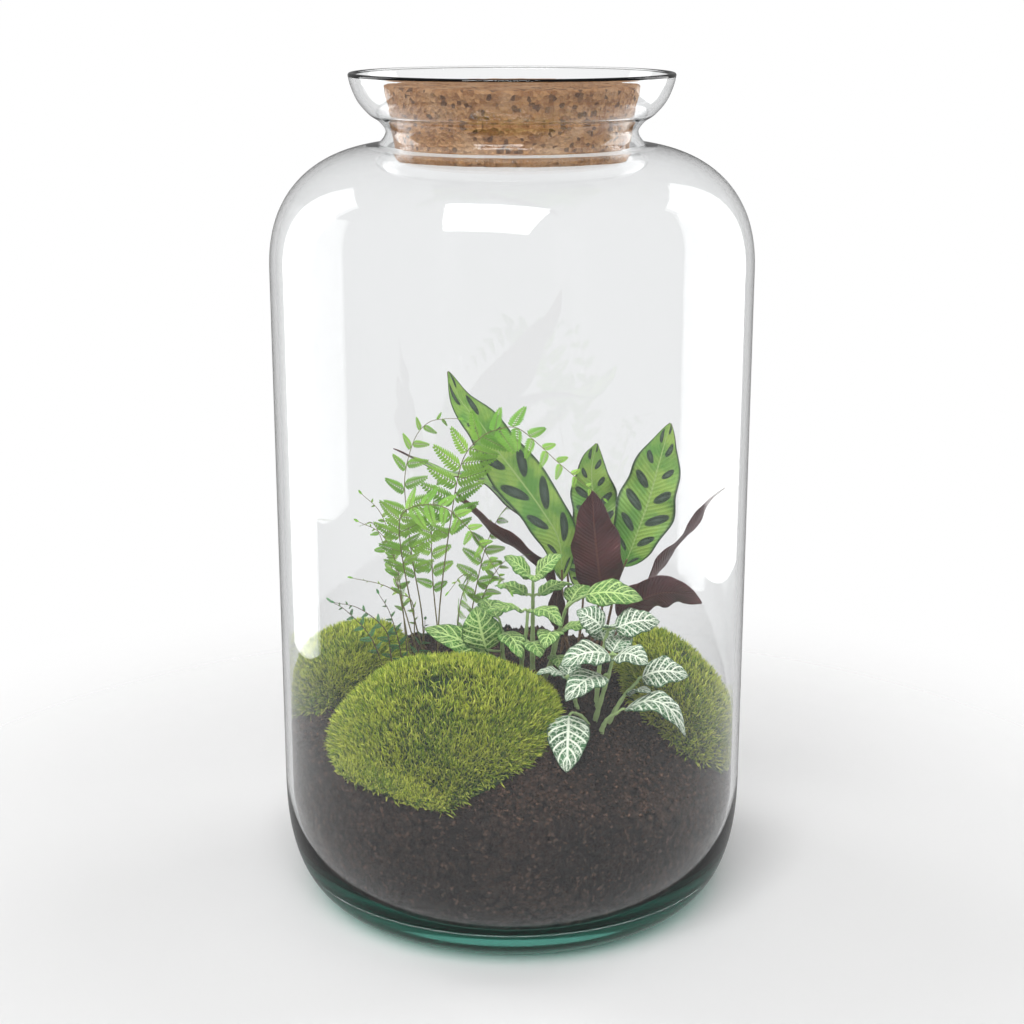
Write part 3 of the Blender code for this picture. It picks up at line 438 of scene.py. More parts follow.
def calathea_under():
    look = Look("calathea_underside", 0.42, Specular_IOR_Level=0.4)
    across, along = look.uv()
    side = from_midrib(look, across)
    veins = calathea_veins(look, along, side)
    colour = look.mix(look.smooth(look.noise(50, 3), 0.35, 0.7), (0.050, 0.008, 0.012), (0.105, 0.022, 0.024))
    rib = look.math("SUBTRACT", 1.0, look.smooth(side, 0.02, 0.06))
    colour = look.mix(look.math("MULTIPLY", rib, 0.5), colour, (0.20, 0.07, 0.05))
    share = look.math("MULTIPLY", look.smooth(veins, 0.3, 1.0), 0.25)
    look.colour(look.mix(share, colour, (0.03, 0.004, 0.006)))
    look.bump(veins, 0.35, 0.0005)
    return look.material


def fern_look(name, low, high, stalk):
    look = Look(name, 0.5, Specular_IOR_Level=0.3)
    across, along = look.uv()
    tone = look.noise(30, 3)
    colour = look.mix(look.smooth(tone, 0.3, 0.7), low, high)
    away = look.math("ABSOLUTE", look.math("SUBTRACT", across, 0.5))
    rib = look.math("SUBTRACT", 1.0, look.smooth(away, 0.02, 0.09))
    colour = look.mix(look.math("MULTIPLY", rib, 0.35), colour, tuple(0.55 * c for c in low))
    is_stalk = look.math("GREATER_THAN", along, 1.5)
    look.colour(look.mix(is_stalk, colour, stalk))
    look.bump(look.noise(900, 2), 0.15, 0.0003)
    return look.material


def fittonia_look(name, green, vein, spread):
    look = Look(name, 0.5, Specular_IOR_Level=0.35)
    across, along = look.uv()
    side = from_midrib(look, across)
    join = look.nodes.new("ShaderNodeCombineXYZ")
    look.links.new(across, join.inputs[0])
    look.links.new(look.math("MULTIPLY", along, 1.6), join.inputs[1])
    net = look.cells(9.0, "DISTANCE_TO_EDGE", join.outputs[0]).outputs["Distance"]
    slant = look.math("SUBTRACT", look.math("MULTIPLY", along, 7.0), look.math("MULTIPLY", side, 1.7))
    near = look.math("ABSOLUTE", look.math("SUBTRACT", look.math("FRACT", slant), 0.5))
    lateral = look.math("SUBTRACT", 1.0, look.smooth(near, 0.05 + spread * 0.6, 0.10 + spread))
    web = look.math("SUBTRACT", 1.0, look.smooth(net, 0.015 + spread * 0.3, 0.05 + spread * 0.6))
    rib = look.math("SUBTRACT", 1.0, look.smooth(side, 0.03, 0.10 + spread * 0.3))
    share = look.math("MAXIMUM", look.math("MAXIMUM", lateral, rib), look.math("MULTIPLY", web, 0.8))
    inside = look.math("SUBTRACT", 1.0, look.smooth(side, 0.88, 1.0))
    share = look.math("MULTIPLY", share, inside)
    tone = look.mix(look.smooth(look.noise(80, 3), 0.35, 0.65), green, tuple(0.6 * c for c in green))
    colour = look.mix(share, tone, vein)
    look.colour(look.mix(look.math("GREATER_THAN", along, 1.5), colour, (0.36, 0.50, 0.20)))
    look.bump(share, 0.5, 0.0006)
    return look.material


# Curves and meshes


def through(points, steps):
    """A smooth curve through points of any dimension, with that many steps between neighbours."""
    points = [Vector(p) for p in points]
    ends = [2 * points[0] - points[1], *points, 2 * points[-1] - points[-2]]
    curve = []
    for before, start, end, after in zip(ends, ends[1:], ends[2:], ends[3:]):
        for k in range(steps):
            t = k / steps
            curve.append(
                0.5 * (2 * start + (end - before) * t + (2 * before - 5 * start + 4 * end - after) * t**2
                       + (3 * start - before - 3 * end + after) * t**3)
            )
    return [*curve, points[-1]]


def even(curve, count):
    """The curve again, in count + 1 points at equal distances."""
    runs = [0.0]
    for start, end in zip(curve, curve[1:]):
        runs.append(runs[-1] + (end - start).length)
    points, low = [], 0
    for k in range(count + 1):
        want = runs[-1] * k / count
        while low < len(curve) - 2 and runs[low + 1] < want:
            low += 1
        points.append(curve[low].lerp(curve[low + 1], (want - runs[low]) / (runs[low + 1] - runs[low])))
    return points


def point_on(curve, share):
    place = share * (len(curve) - 1)
    low = min(int(place), len(curve) - 2)
    return curve[low].lerp(curve[low + 1], place - low), (curve[low + 1] - curve[low]).normalized()


def superellipse(start_r, end_r, start_z, end_z, power, steps, from_floor):
    points = []
    for k in range(steps + 1):
        angle = math.pi / 2 * k / steps
        sine, cosine = (max(0.0, f(angle)) ** (2 / power) for f in (math.sin, math.cos))
        if from_floor:
            points.append((start_r + (end_r - start_r) * sine, start_z + (end_z - start_z) * (1 - cosine)))
        else:
            points.append((start_r - (start_r - end_r) * (1 - cosine), start_z + (end_z - start_z) * sine))
    return points


class Shape:
    """Vertices in centimetres, faces with UVs, gathered before they become one object."""

    def __init__(self):
        self.points, self.faces, self.coords = [], [], []

    def grid(self, rows, uvs):
        """Faces over a grid of points, given as equal rows."""
        base = len(self.points)
        wide = len(rows[0])
        for row, uv_row in zip(rows, uvs):
            self.points.extend(row)
            self.coords.extend(uv_row)
        for r in range(len(rows) - 1):
            for c in range(wide - 1):
                a = base + r * wide + c
                self.faces.append((a, a + 1, a + wide + 1, a + wide))

    def tube(self, curve, radii, sides=6):
        """A round stalk, whose V coordinate tells the materials that it is one."""
        rows, uvs = [], []
        up = Vector((0.3, -1, 0.2))
        for k, centre in enumerate(curve):
            along = (curve[min(k + 1, len(curve) - 1)] - curve[max(k - 1, 0)]).normalized()
            side = along.cross(up).normalized()
            other = side.cross(along).normalized()
            turn = [2 * math.pi * j / sides for j in range(sides)]
            rows.append([centre + (side * math.cos(a) + other * math.sin(a)) * radii[k] for a in turn])
            uvs.append([(0.5, STALK_MARK)] * sides)
        base = len(self.points)
        for row, uv_row in zip(rows, uvs):
            self.points.extend(row)
            self.coords.extend(uv_row)
        for r in range(len(rows) - 1):
            for c in range(sides):
                a, b = base + r * sides + c, base + r * sides + (c + 1) % sides
                self.faces.append((a, b, b + sides, a + sides))
        self.faces.append(tuple(range(base + sides - 1, base - 1, -1)))
        last = base + (len(rows) - 1) * sides
        self.faces.append(tuple(range(last, last + sides)))

    def object(self, name, *looks, scale=CM):
        mesh = bpy.data.meshes.new(name)
        mesh.from_pydata([tuple(p * scale) for p in self.points], [], self.faces)
        layer = mesh.uv_layers.new(name="UVMap")
        corner = np.empty(len(mesh.loops), np.int32)
        mesh.loops.foreach_get("vertex_index", corner)
        layer.data.foreach_set("uv", np.array(self.coords, np.float32)[corner].ravel())
        for look in looks:
            mesh.materials.append(look)
        mesh.shade_smooth()
        obj = bpy.data.objects.new(name, mesh)
        bpy.context.scene.collection.objects.link(obj)
        return obj


def array_object(name, points, faces, uvs, look):
    """An object straight from arrays, in metres."""
    mesh = bpy.data.meshes.new(name)
    mesh.from_pydata(points, [], faces)
    layer = mesh.uv_layers.new(name="UVMap")
    corner = np.empty(len(mesh.loops), np.int32)
    mesh.loops.foreach_get("vertex_index", corner)
    layer.data.foreach_set("uv", uvs.astype(np.float32)[corner].ravel())
    mesh.materials.append(look)
    obj = bpy.data.objects.new(name, mesh)
    bpy.context.scene.collection.objects.link(obj)
    return obj


def declare(obj, material_slot, *nodes):
    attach(obj, "root")
    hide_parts(*nodes)
    return obj


def turned(name, profile, look, sides=JAR_SIDES):
    shape = Shape()
    rings = []
    for radius, z in profile:
        if radius < 1e-6:
            rings.append([len(shape.points)])
            shape.points.append(Vector((0, 0, z)))
            continue
        rings.append(list(range(len(shape.points), len(shape.points) + sides)))
        for k in range(sides):
            angle = 2 * math.pi * k / sides
            shape.points.append(Vector((radius * math.cos(angle), radius * math.sin(angle), z)))
    for low, high in zip(rings[:-1], rings[1:]):
        for k in range(sides):
            after = (k + 1) % sides
            if len(low) == 1:
                shape.faces.append((low[0], high[after], high[k]))
            elif len(high) == 1:
                shape.faces.append((low[k], low[after], high[0]))
            else:
                shape.faces.append((low[k], low[after], high[after], high[k]))
    shape.coords = [(0.0, 0.0)] * len(shape.points)
    return shape.object(name, look, scale=1.0)


# Jar and cork


def neck_and_flare():
    top = JAR_HEIGHT - LIP_R
    points = (
        (NECK_R + 0.0045, SHOULDER_Z + SHOULDER_RISE - 0.0006), (NECK_R + 0.0010, NECK_Z - 0.0040),
        (NECK_R, NECK_Z), (NECK_R + 0.0035, NECK_Z + 0.0047), (NECK_R + 0.0090, NECK_Z + 0.0085),
        (NECK_R + 0.0150, NECK_Z + 0.0155), (NECK_R + 0.0186, NECK_Z + 0.0235), (NECK_R + 0.0200, top),
    )
    return [tuple(p) for p in through(points, 6)]


def inward(curve, thickness):
    moved = []
    for k, (radius, z) in enumerate(curve):
        before, after = curve[max(0, k - 1)], curve[min(len(curve) - 1, k + 1)]
        along = Vector((after[0] - before[0], after[1] - before[1])).normalized()
        moved.append((radius - along.y * thickness, z + along.x * thickness))
    return moved


def shoulder(inset):
    end_r = BODY_R - SHOULDER_REACH
    curve = superellipse(
        BODY_R - inset, end_r, SHOULDER_Z, SHOULDER_Z + SHOULDER_RISE - inset, SHOULDER_POWER, 48, False
    )
    return [(radius, z) for radius, z in curve if radius > NECK_R + 0.006 + inset * 0.3]


def inner_corner(inset, steps=36):
    wall_r, floor_z = BODY_R - WALL - inset, FLOOR_THICKNESS + inset
    return superellipse(FOOT_R - 0.004, wall_r, floor_z, CORNER_HEIGHT, CORNER_POWER, steps, True)


def glass_jar():
    outside = superellipse(FOOT_R, BODY_R, 0.0, CORNER_HEIGHT, CORNER_POWER, 36, True)
    outside += shoulder(0.0) + neck_and_flare()
    inside = inner_corner(0.0) + shoulder(WALL) + inward(neck_and_flare(), NECK_WALL)
    middle = (outside[-1][0] + inside[-1][0]) / 2
    lip = [
        (middle + LIP_R * math.cos(a), JAR_HEIGHT - LIP_R + LIP_R * math.sin(a))
        for a in (math.radians(d) for d in range(15, 180, 15))
    ]
    ring_in = FOOT_R - FOOT_RING
    underside = [(0.0, PUNT), (ring_in * 0.5, PUNT * 0.8), (ring_in * 0.85, PUNT * 0.25), (ring_in, 0.0)]
    profile = [*underside, *outside, *lip, *reversed(inside), (0.0, FLOOR_THICKNESS)]
    return declare(turned("jar", profile, glass_look()), "glass", "glass_jar")


def cork():
    low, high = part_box("cork_stopper")
    low_r, high_r, edge = CORK_LOW_R, high.x, CORK_EDGE
    profile = [(0.0, low.z)]
    profile += [(low_r * k / 8, low.z) for k in range(1, 8)]
    profile += [(low_r - edge, low.z), (low_r, low.z + edge)]
    rows = 26
    for k in range(1, rows):
        share = k / rows
        profile.append((low_r + (high_r - low_r) * share, low.z + edge + (high.z - low.z - 2 * edge) * share))
    profile += [(high_r, high.z - edge), (high_r - edge * 0.3, high.z - edge * 0.3), (high_r - edge, high.z)]
    profile += [(high_r * k / 12, high.z) for k in range(11, 0, -1)]
    profile.append((0.0, high.z))
    obj = turned("cork", profile, cork_look(), CORK_SIDES)
    for vertex in obj.data.vertices:
        rough = noise.noise(vertex.co * 420) * 0.00035 + noise.noise(vertex.co * 160) * 0.0003
        vertex.co += vertex.normal * min(0.0, rough - 0.0001)
    return declare(obj, "cork", "cork_stopper")


# Soil, gravel and moss


def glass_radius(z, inset):
    curve = inner_corner(inset, 48)
    for (low_r, low_z), (high_r, high_z) in zip(curve[:-1], curve[1:]):
        if low_z <= z <= high_z and high_z > low_z:
            return low_r + (high_r - low_r) * (z - low_z) / (high_z - low_z)
    return BODY_R - WALL - inset


def soil_height(x, y):
    across = BODY_R - WALL
    at_wall = SOIL_AT_WALL + SOIL_TILT_X * x / across + SOIL_TILT_Y * y / across
    return at_wall + (SOIL_TOP - at_wall) * max(0.0, 1 - (math.hypot(x, y) / across) ** SOIL_POWER)


def lumpy(x, y):
    """The soil's surface with its lumps."""
    place = Vector((x, y, 0))
    lumps = noise.fractal(place * 45, 1.0, 2.0, 3) * 0.0035 + noise.noise(place * 230) * 0.0012
    return soil_height(x, y) + lumps - 0.0005 + noise.noise(place * 620) * 0.0006


def soil():
    shape = Shape()
    sides, rows = SOIL_SIDES, 84
    rings = []
    levels = np.linspace(GRAVEL_TOP + 2 * GAP, CORNER_HEIGHT, 26)
    for z in levels:
        radius = glass_radius(z, 2 * GAP)
        rings.append([(radius, z)] * sides)
    wall_r = BODY_R - WALL - 2 * GAP
    turn = [2 * math.pi * k / sides for k in range(sides)]
    for row in range(rows, 0, -1):
        radius = wall_r * row / rows
        rings.append([(radius, lumpy(radius * math.cos(a), radius * math.sin(a))) for a in turn])
    for ring in rings:
        shape.points.extend(Vector((r * math.cos(a), r * math.sin(a), z)) for (r, z), a in zip(ring, turn))
    count = len(rings)
    for r in range(count - 1):
        for k in range(sides):
            a, b = r * sides + k, r * sides + (k + 1) % sides
            shape.faces.append((a, b, b + sides, a + sides))
    shape.faces.append(tuple(range(sides - 1, -1, -1)))
    shape.faces.append(tuple(range((count - 1) * sides, count * sides)))
    shape.coords = [(0.0, 0.0)] * len(shape.points)
    look = soil_look("potting_soil", (0.036, 0.020, 0.014), (0.011, 0.006, 0.005), 260)
    plants_in_it = ("calathea", "fern", "fittonia_left", "fittonia_right", "button_fern")
    root_balls = (f"{plant}_root_ball" for plant in plants_in_it)
    declare(shape.object("potting_soil", look, scale=1.0), "soil", "soil", *root_balls)


def gravel():
    side = [(radius, z) for radius, z in inner_corner(GAP) if z < GRAVEL_TOP - 0.002]
    edge = (glass_radius(GRAVEL_TOP, 2 * GAP), GRAVEL_TOP)
    profile = [(0.0, FLOOR_THICKNESS + GAP), *side, edge, (0.0, GRAVEL_TOP)]
    look = soil_look("drainage_gravel", (0.030, 0.020, 0.017), (0.010, 0.007, 0.006), 170)
    declare(turned("drainage", profile, look), "gravel", "gravel_layer")


def crumbs():
    """Loose lumps and bark on the soil."""
    corners = np.array([(1, 0, 0), (-1, 0, 0), (0, 1, 0), (0, -1, 0), (0, 0, 1), (0, 0, -1)], float)
    sides = np.array([(0, 2, 4), (2, 1, 4), (1, 3, 4), (3, 0, 4), (2, 0, 5), (1, 2, 5), (3, 1, 5), (0, 3, 5)])
    points, faces = [], []
    reach = BODY_R - WALL - 0.003
    for _ in range(CRUMBS):
        radius = reach * math.sqrt(rng.random())
        angle = 2 * math.pi * rng.random()
        x, y = radius * math.cos(angle), radius * math.sin(angle)
        size = CRUMB_LEAST + CRUMB_SPREAD * rng.random() ** 3
        if radius > reach + 0.002 - size * 1.5:
            continue
        shape = corners * size * rng.uniform(0.6, 1.5, (6, 1))
        twist = rng.random() * math.pi
        turned_x = shape[:, 0] * math.cos(twist) - shape[:, 1] * math.sin(twist)
        turned_y = shape[:, 0] * math.sin(twist) + shape[:, 1] * math.cos(twist)
        base = len(points) * 6
        points.append(np.stack([turned_x + x, turned_y + y, shape[:, 2] + lumpy(x, y) + size * 0.3], 1))
        faces.append(sides + base)
    points, faces = np.concatenate(points), np.concatenate(faces)
    look = soil_look("loose_soil", (0.085, 0.046, 0.030), (0.016, 0.009, 0.007), 600)
    obj = array_object("soil_crumbs", points, faces, np.zeros((len(points), 2)), look)
    declare(obj, "soil")


def moss(name, centre, half, height, look):
    """A cushion of fine upright blades."""
    count = FRONT_MOSS_BLADES if name == "moss_front" else SIDE_MOSS_BLADES
    limit = BODY_R - WALL - 3 * GAP
    angle = rng.random(count) * 2 * math.pi
    bulge = np.arcsin(rng.random(count) ** 0.8)
    ripple = 1 + 0.05 * np.sin(angle * 3 + 1.3) + 0.03 * np.sin(angle * 7)
    flat = np.cos(bulge) ** 0.7 * ripple * 0.975
    lift = np.sin(bulge) * height * 0.93

    def surface(a, f, rise):
        x = centre[0] + half[0] * f * np.cos(a)
        y = centre[1] + half[1] * f * np.sin(a)
        out = np.hypot(x, y)
        shrink = np.minimum(1, (limit - 0.0012) / out)
        x, y = x * shrink, y * shrink
        across = BODY_R - WALL
        at_wall = SOIL_AT_WALL + SOIL_TILT_X * x / across + SOIL_TILT_Y * y / across
        soil_z = at_wall + (SOIL_TOP - at_wall) * np.maximum(0, 1 - (np.hypot(x, y) / across) ** SOIL_POWER)
        return np.stack([x, y, soil_z + 3 * GAP + rise], 1)

    foot = surface(angle, flat, lift)
    level = np.cos(bulge)
    slopes = [np.cos(angle) * level / half[0], np.sin(angle) * level / half[1], np.sin(bulge) / height]
    normal = np.stack(slopes, 1)
    normal /= np.linalg.norm(normal, axis=1)[:, None]
    normal = normal * 0.8 + np.array([0, 0, 0.35])
    tilt = rng.normal(0, 0.45, (count, 3))
    way = normal + tilt
    way /= np.linalg.norm(way, axis=1)[:, None]
    length = rng.uniform(*MOSS_BLADE_LENGTH, count)[:, None]
    side = np.cross(way, rng.normal(0, 1, (count, 3)))
    side /= np.linalg.norm(side, axis=1)[:, None]
    wide = rng.uniform(*MOSS_BLADE_HALF_WIDTH, count)[:, None]
    bend = np.array([0, 0, -0.0006]) * rng.random((count, 1))
    foot = foot - way * 0.0012
    mid, tip = foot + way * length * 0.55, foot + way * length + bend
    out = np.hypot(tip[:, 0], tip[:, 1])
    shrink = np.minimum(1, limit / out)[:, None]
    tip[:, :2] *= shrink
    mid[:, :2] *= np.minimum(1, limit / np.hypot(mid[:, 0], mid[:, 1]))[:, None]
    at_foot, at_mid = side * wide * 0.6, side * wide
    points = np.stack([foot - at_foot, foot + at_foot, mid + at_mid, mid - at_mid, tip], 1).reshape(-1, 3)
    base = (np.arange(count) * 5)[:, None]
    faces = [tuple(f) for f in (base + np.array([0, 1, 2, 3])).tolist()]
    faces += [tuple(f) for f in (base + np.array([3, 2, 4])).tolist()]
    shade = rng.random(count)
    uvs = np.stack([np.repeat(shade, 5), np.tile([0, 0, 0.55, 0.55, 1.0], count)], 1)
    blades = array_object(f"{name}_blades", points, faces, uvs, look)
    declare(blades, "moss", name)
    # A dark sheet under the blades, in the blades' darkest foot colour: painted shade inside the cushion
    shape = Shape()
    rows, sides = 18, 60
    for k in range(rows):
        rise = math.pi / 2 * k / (rows - 1)
        turn = np.linspace(0, 2 * math.pi, sides + 1)
        flat = np.full(sides + 1, max(0.004, math.cos(rise)) ** 0.7 * 0.95)
        ring = surface(turn, flat, math.sin(rise) * height * 0.9)
        shape.points.extend(Vector(p) for p in ring)
        shape.coords.extend([(0.5, 0.0)] * (sides + 1))
    for r in range(rows - 1):
        for c in range(sides):
            a = r * (sides + 1) + c
            shape.faces.append((a, a + 1, a + sides + 2, a + sides + 1))
    declare(shape.object(f"{name}_shade_bed", look, scale=1.0), "moss")


# Plants


def rooted(plant, route):
    x, y = route[0]
    foot = Vector((x, y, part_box(f"{plant}_root_ball")[1].z / CM + STEM_LIFT))
    return [foot, foot + Vector((0, 0, STEM_RISE)), *(Vector(p) for p in route[1:])]


def solid_leaf(obj, thickness):
    """Gives a sheet its thickness. The side away from its front takes the second material."""
    made = obj.modifiers.new("thickness", "SOLIDIFY")
    made.thickness = thickness
    made.offset = -1
    made.material_offset = 1
    made.material_offset_rim = 1
    return obj


def calathea_leaf(number, route, half_width, starts, look_foot, look_tip, looks):
    curve = even(through(rooted("calathea", route), 10), 150)
    first = int(len(curve) * starts) - 2
    stalk = Shape()
    radii = [0.11 * (1 - 0.45 * k / (first + 6)) for k in range(first + 6)]
    stalk.tube(curve[: first + 6], radii, 8)
    sheet = Shape()
    rows, uvs = [], []
    wide = 24
    phase = number * 1.7
    for k in range(first, len(curve)):
        share = (k - first) / (len(curve) - 1 - first)
        along = (curve[min(k + 1, len(curve) - 1)] - curve[max(k - 1, 0)]).normalized()
        looking = Vector(look_foot).lerp(Vector(look_tip), share)
        side = along.cross(looking).normalized()
        upper = side.cross(along).normalized()
        width = max(0.03, half_width * max(0.0, math.sin(math.pi * share**0.85)) ** 0.75)
        row, uv_row = [], []
        for j in range(wide + 1):
            u = 2 * j / wide - 1
            wave = math.sin(share * 17 + phase + (2.1 if u > 0 else 0)) * abs(u) ** 2
            wave *= CALATHEA_WAVE * half_width
            ridge = math.sin(share * 60 - abs(u) * 7) * CALATHEA_RIDGE * abs(u)
            rise = CALATHEA_FOLD * width * abs(u) ** 1.2 + wave * math.sin(math.pi * share) + ridge
            reach = width * (1 + 0.05 * math.sin(share * 21 + phase * 2 + (1.1 if u > 0 else 0)))
            row.append(curve[k] + side * u * reach + upper * rise)
            uv_row.append((j / wide, share))
        rows.append(row)
        uvs.append(uv_row)
    sheet.grid(rows, uvs)
    blade = solid_leaf(sheet.object(f"calathea_blade_{number}", *looks[:2]), CALATHEA_THICKNESS)
    stem = stalk.object(f"calathea_stalk_{number}", looks[2])
    declare(blade, "calathea_leaf", f"calathea_leaf_{number}")
    declare(stem, "calathea_leaf")


def pinnule(shape, foot, out, along, upper, length, width):
    """One small leaflet, folded a little along its middle."""
    base = len(shape.points)
    for t, w in ((0, 0.35), (0.4, 1.0), (0.8, 0.7), (1.0, 0.0)):
        centre = foot + out * length * t + along * length * 0.12 * t * t - upper * length * 0.12 * t * t
        rise = upper * w * width * 0.25
        for u in (-1, 0, 1):
            shape.points.append(centre + along * u * w * width + (rise if u else Vector((0, 0, 0))))
            shape.coords.append((0.5 + 0.5 * u, t))
    for r in range(3):
        for c in range(2):
            a = base + r * 3 + c
            shape.faces.append((a, a + 3, a + 4, a + 1))


def pinna_length(share):
    return min(1.0, 0.55 + 2.2 * share) * (1 - share) ** 0.7 + 0.06


def frond(plant, number, route, longest, starts, pairs, look, leafy, leaflets):
    curve = even(through(rooted(plant, route), 8), 90)
    look = Vector(look)
    starts *= 0.8
    pairs = int(pairs * 1.15)
    shape = Shape()
    shape.tube(curve, [0.05 * (1 - 0.7 * k / 90) for k in range(91)], 6)
    length_all = sum((b - a).length for a, b in zip(curve, curve[1:]))
    step = (1 - starts) * length_all / pairs
    for k in range(pairs):
        share = (k + 0.3) / pairs
        for way in (-1, 1):
            shift = 0.12 * way / pairs
            foot, along = point_on(curve, starts + (1 - starts) * (share + shift) * 0.98)
            side = along.cross(look).normalized()
            upper = side.cross(along).normalized()
            length = longest * pinna_length(share) * rng.uniform(0.92, 1.08)
            out = (side * way * 0.93 + along * PINNA_LEAN - upper * 0.12).normalized()
            tilt = rng.normal(0, 0.08)
            out = (out + upper * tilt).normalized()
            shares = np.linspace(0, 1, 9)
            spine = [foot + out * length * t - upper * PINNA_DROOP * length * t * t for t in shares]
            shape.tube(spine, [0.022 * (1 - 0.6 * t) for t in shares], 4)
            count = max(4, int(leaflets * (0.35 + 0.65 * length / longest)))
            room = length / count
            widest = min(step * 0.60, length * 0.34)
            for j in range(count + 1):
                t = (j + 0.4) / (count + 0.9)
                centre = foot + out * length * t - upper * PINNA_DROOP * length * t * t
                reach = widest * (min(1.0, 0.75 + t) * (1 - t) ** 0.62 + 0.10)
                for hand in (-1, 1):
                    across = (along * hand * 0.92 + out * 0.42).normalized()
                    pinnule(shape, centre, across, out, upper, reach, room * 0.52)
    end, along = curve[-1], (curve[-1] - curve[-3]).normalized()
    side = along.cross(look).normalized()
    pinnule(shape, end, along, side, look.normalized(), 0.35, 0.08)
    declare(shape.object(f"{plant}_leafy_{number}", leafy), f"{plant}_frond", f"{plant}_frond_{number}")


def fittonia_stem(plant, number, route, leaves, look, material_slot):
    curve = even(through(rooted(plant, route), 8), 40)
    stems = Shape()
    stems.tube(curve, [0.17 * (1 - 0.5 * k / 40) * (1 + 0.10 * math.sin(k * 0.9)) for k in range(41)], 10)
    sheet = Shape()
    for order, (share, stalk, blade, half_width, arch, facing) in enumerate(leaves):
        foot, _ = point_on(curve, share * 0.97)
        start = foot + Vector(stalk)
        blade, facing = Vector(blade) * FITTONIA_LONGER, Vector(facing)
        half_width *= FITTONIA_WIDER
        upper = (facing - blade * (facing.dot(blade) / blade.length_squared)).normalized()
        side = blade.cross(upper).normalized()
        bow = upper * arch * blade.length
        petiole = [foot.lerp(start, t) + upper * 0.15 * math.sin(math.pi * t) for t in np.linspace(0, 1, 7)]
        stems.tube(petiole, [0.075] * 7, 8)
        rows, uvs = [], []
        wide, long = 18, 34
        phase = number * 2.3 + order * 1.1
        for k in range(long + 1):
            t = k / long
            centre = start + blade * t + bow * 3.6 * t * (1 - t)
            outline = max(0.0, math.sin(math.pi * t**0.72)) ** 0.72
            width = max(0.02, half_width * outline)
            row, uv_row = [], []
            for j in range(wide + 1):
                u = 2 * j / wide - 1
                pucker = math.sin(t * 44 - abs(u) * 10.5) * 0.022 * (1 - 0.3 * abs(u)) * min(1, 4 * abs(u))
                wave = math.sin(t * 15 + phase + (2 if u > 0 else 0)) * FITTONIA_WAVE
                ruffle = wave * half_width * abs(u) ** 2 * math.sin(math.pi * t)
                rise = (0.30 * abs(u) - 0.28 * u * u * abs(u)) * width + pucker + ruffle
                row.append(centre - side * u * width + upper * rise)
                uv_row.append((j / wide, t))
            rows.append(row)
            uvs.append(uv_row)
        sheet.grid(rows, uvs)
    blades = sheet.object(f"{plant}_leaves_{number}", look, look)
    solid_leaf(blades, FITTONIA_THICKNESS)
    declare(blades, material_slot, f"{plant}_stem_{number}")
    declare(stems.object(f"{plant}_stalks_{number}", look), material_slot)


def plants():
    stalk = fern_look("calathea_stalk", (0.20, 0.16, 0.06), (0.13, 0.07, 0.04), (0.16, 0.09, 0.045))
    looks = (calathea_top(), calathea_under(), stalk)
    for number, leaf in enumerate(CALATHEA, 1):
        calathea_leaf(number, *leaf, looks)
    leafy = fern_look("fern_leaf", (0.11, 0.31, 0.020), (0.30, 0.54, 0.065), (0.14, 0.12, 0.04))
    for number, spec in enumerate(FERN, 1):
        frond("fern", number, *spec, leafy, 12)
    dark = fern_look("button_fern_leaf", (0.035, 0.15, 0.05), (0.12, 0.32, 0.12), (0.10, 0.07, 0.04))
    for number, spec in enumerate(BUTTON_FERN, 1):
        frond("button_fern", number, *spec, dark, 5)
    green = fittonia_look("fittonia_green_leaf", (0.075, 0.24, 0.030), (0.50, 0.68, 0.25), 0.03)
    for number, spec in enumerate(FITTONIA_LEFT, 1):
        fittonia_stem("fittonia_left", number, *spec, green, "fittonia_green")
    white = fittonia_look("fittonia_white_leaf", (0.045, 0.16, 0.055), (0.80, 0.86, 0.72), 0.045)
    for number, spec in enumerate(FITTONIA_RIGHT, 1):
        fittonia_stem("fittonia_right", number, *spec, white, "fittonia_white")


# Studio


def softbox(name, place, size, energy, aim):
    lamp = bpy.data.lights.new(name, "AREA")
    lamp.shape = "RECTANGLE"
    lamp.size, lamp.size_y = size
    lamp.energy = energy
    obj = bpy.data.objects.new(name, lamp)
    obj.location = place
    obj.rotation_euler = (Vector(aim) - Vector(place)).to_track_quat("-Z", "Y").to_euler()
    bpy.context.scene.collection.objects.link(obj)


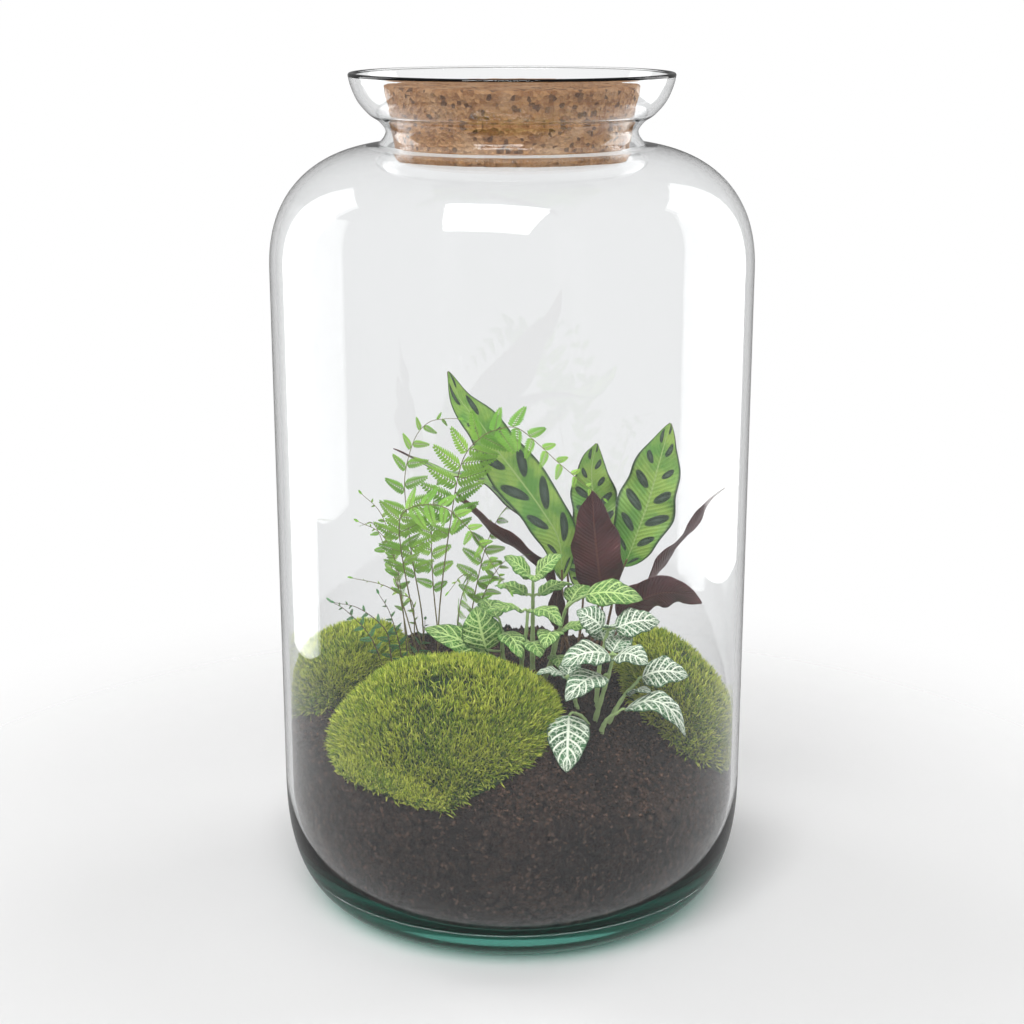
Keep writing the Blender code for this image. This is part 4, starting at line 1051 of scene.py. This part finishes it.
def studio():
    scene = bpy.context.scene
    scene.view_settings.view_transform = "Standard"
    camera = bpy.data.cameras.new("camera")
    camera.lens = CAMERA_LENS
    camera.sensor_width = CAMERA_SENSOR
    camera_object = bpy.data.objects.new("camera", camera)
    camera_object.location = CAMERA_PLACE
    camera_object.rotation_euler = (math.pi / 2 - CAMERA_DROP, 0, 0)
    scene.collection.objects.link(camera_object)
    scene.camera = camera_object
    world = bpy.data.worlds.new("world")
    scene.world = world
    world.use_nodes = True
    nodes, links = world.node_tree.nodes, world.node_tree.links
    path = nodes.new("ShaderNodeLightPath")
    seen = nodes.new("ShaderNodeMath")
    seen.operation = "MAXIMUM"
    links.new(path.outputs["Is Camera Ray"], seen.inputs[0])
    links.new(path.outputs["Is Transmission Ray"], seen.inputs[1])
    strength = nodes.new("ShaderNodeMapRange")
    links.new(seen.outputs[0], strength.inputs["Value"])
    strength.inputs["To Min"].default_value = AMBIENT
    strength.inputs["To Max"].default_value = 1.0
    links.new(strength.outputs["Result"], nodes["Background"].inputs["Strength"])
    nodes["Background"].inputs["Color"].default_value = (1, 1, 1, 1)
    mesh = bpy.data.meshes.new("floor")
    reach, low = FLOOR_REACH, FLOOR_LEVEL
    corners = [(-reach, -reach, low), (reach, -reach, low), (reach, reach, low), (-reach, reach, low)]
    mesh.from_pydata(corners, [], [(0, 1, 2, 3)])
    floor = bpy.data.objects.new("floor", mesh)
    look = Look("floor_paper", 0.9, Specular_IOR_Level=0.0)
    look.colour(look.mix(look.smooth(look.noise(6, 2), 0.3, 0.7), (0.94, 0.94, 0.94), (0.95, 0.95, 0.95)))
    away = look.nodes.new("ShaderNodeVectorMath")
    away.operation = "LENGTH"
    look.links.new(look.place(), away.inputs[0])
    clear = look.nodes.new("ShaderNodeBsdfTransparent")
    fade = look.nodes.new("ShaderNodeMixShader")
    path_here = look.nodes.new("ShaderNodeLightPath")
    unseen = look.math("MULTIPLY", path_here.outputs["Is Glossy Ray"], FLOOR_UNSEEN)
    far = look.smooth(away.outputs["Value"], *FLOOR_FADE)
    look.links.new(look.math("MAXIMUM", far, unseen), fade.inputs[0])
    look.links.new(look.shader.outputs[0], fade.inputs[1])
    look.links.new(clear.outputs[0], fade.inputs[2])
    look.links.new(fade.outputs[0], look.output.inputs["Surface"])
    mesh.materials.append(look.material)
    scene.collection.objects.link(floor)
    for lamp in SOFTBOXES:
        softbox(*lamp)


glass_jar()
cork()
gravel()
soil()
crumbs()
moss_material = moss_look()
for cushion in MOSSES:
    moss(*cushion, moss_material)
plants()
studio()
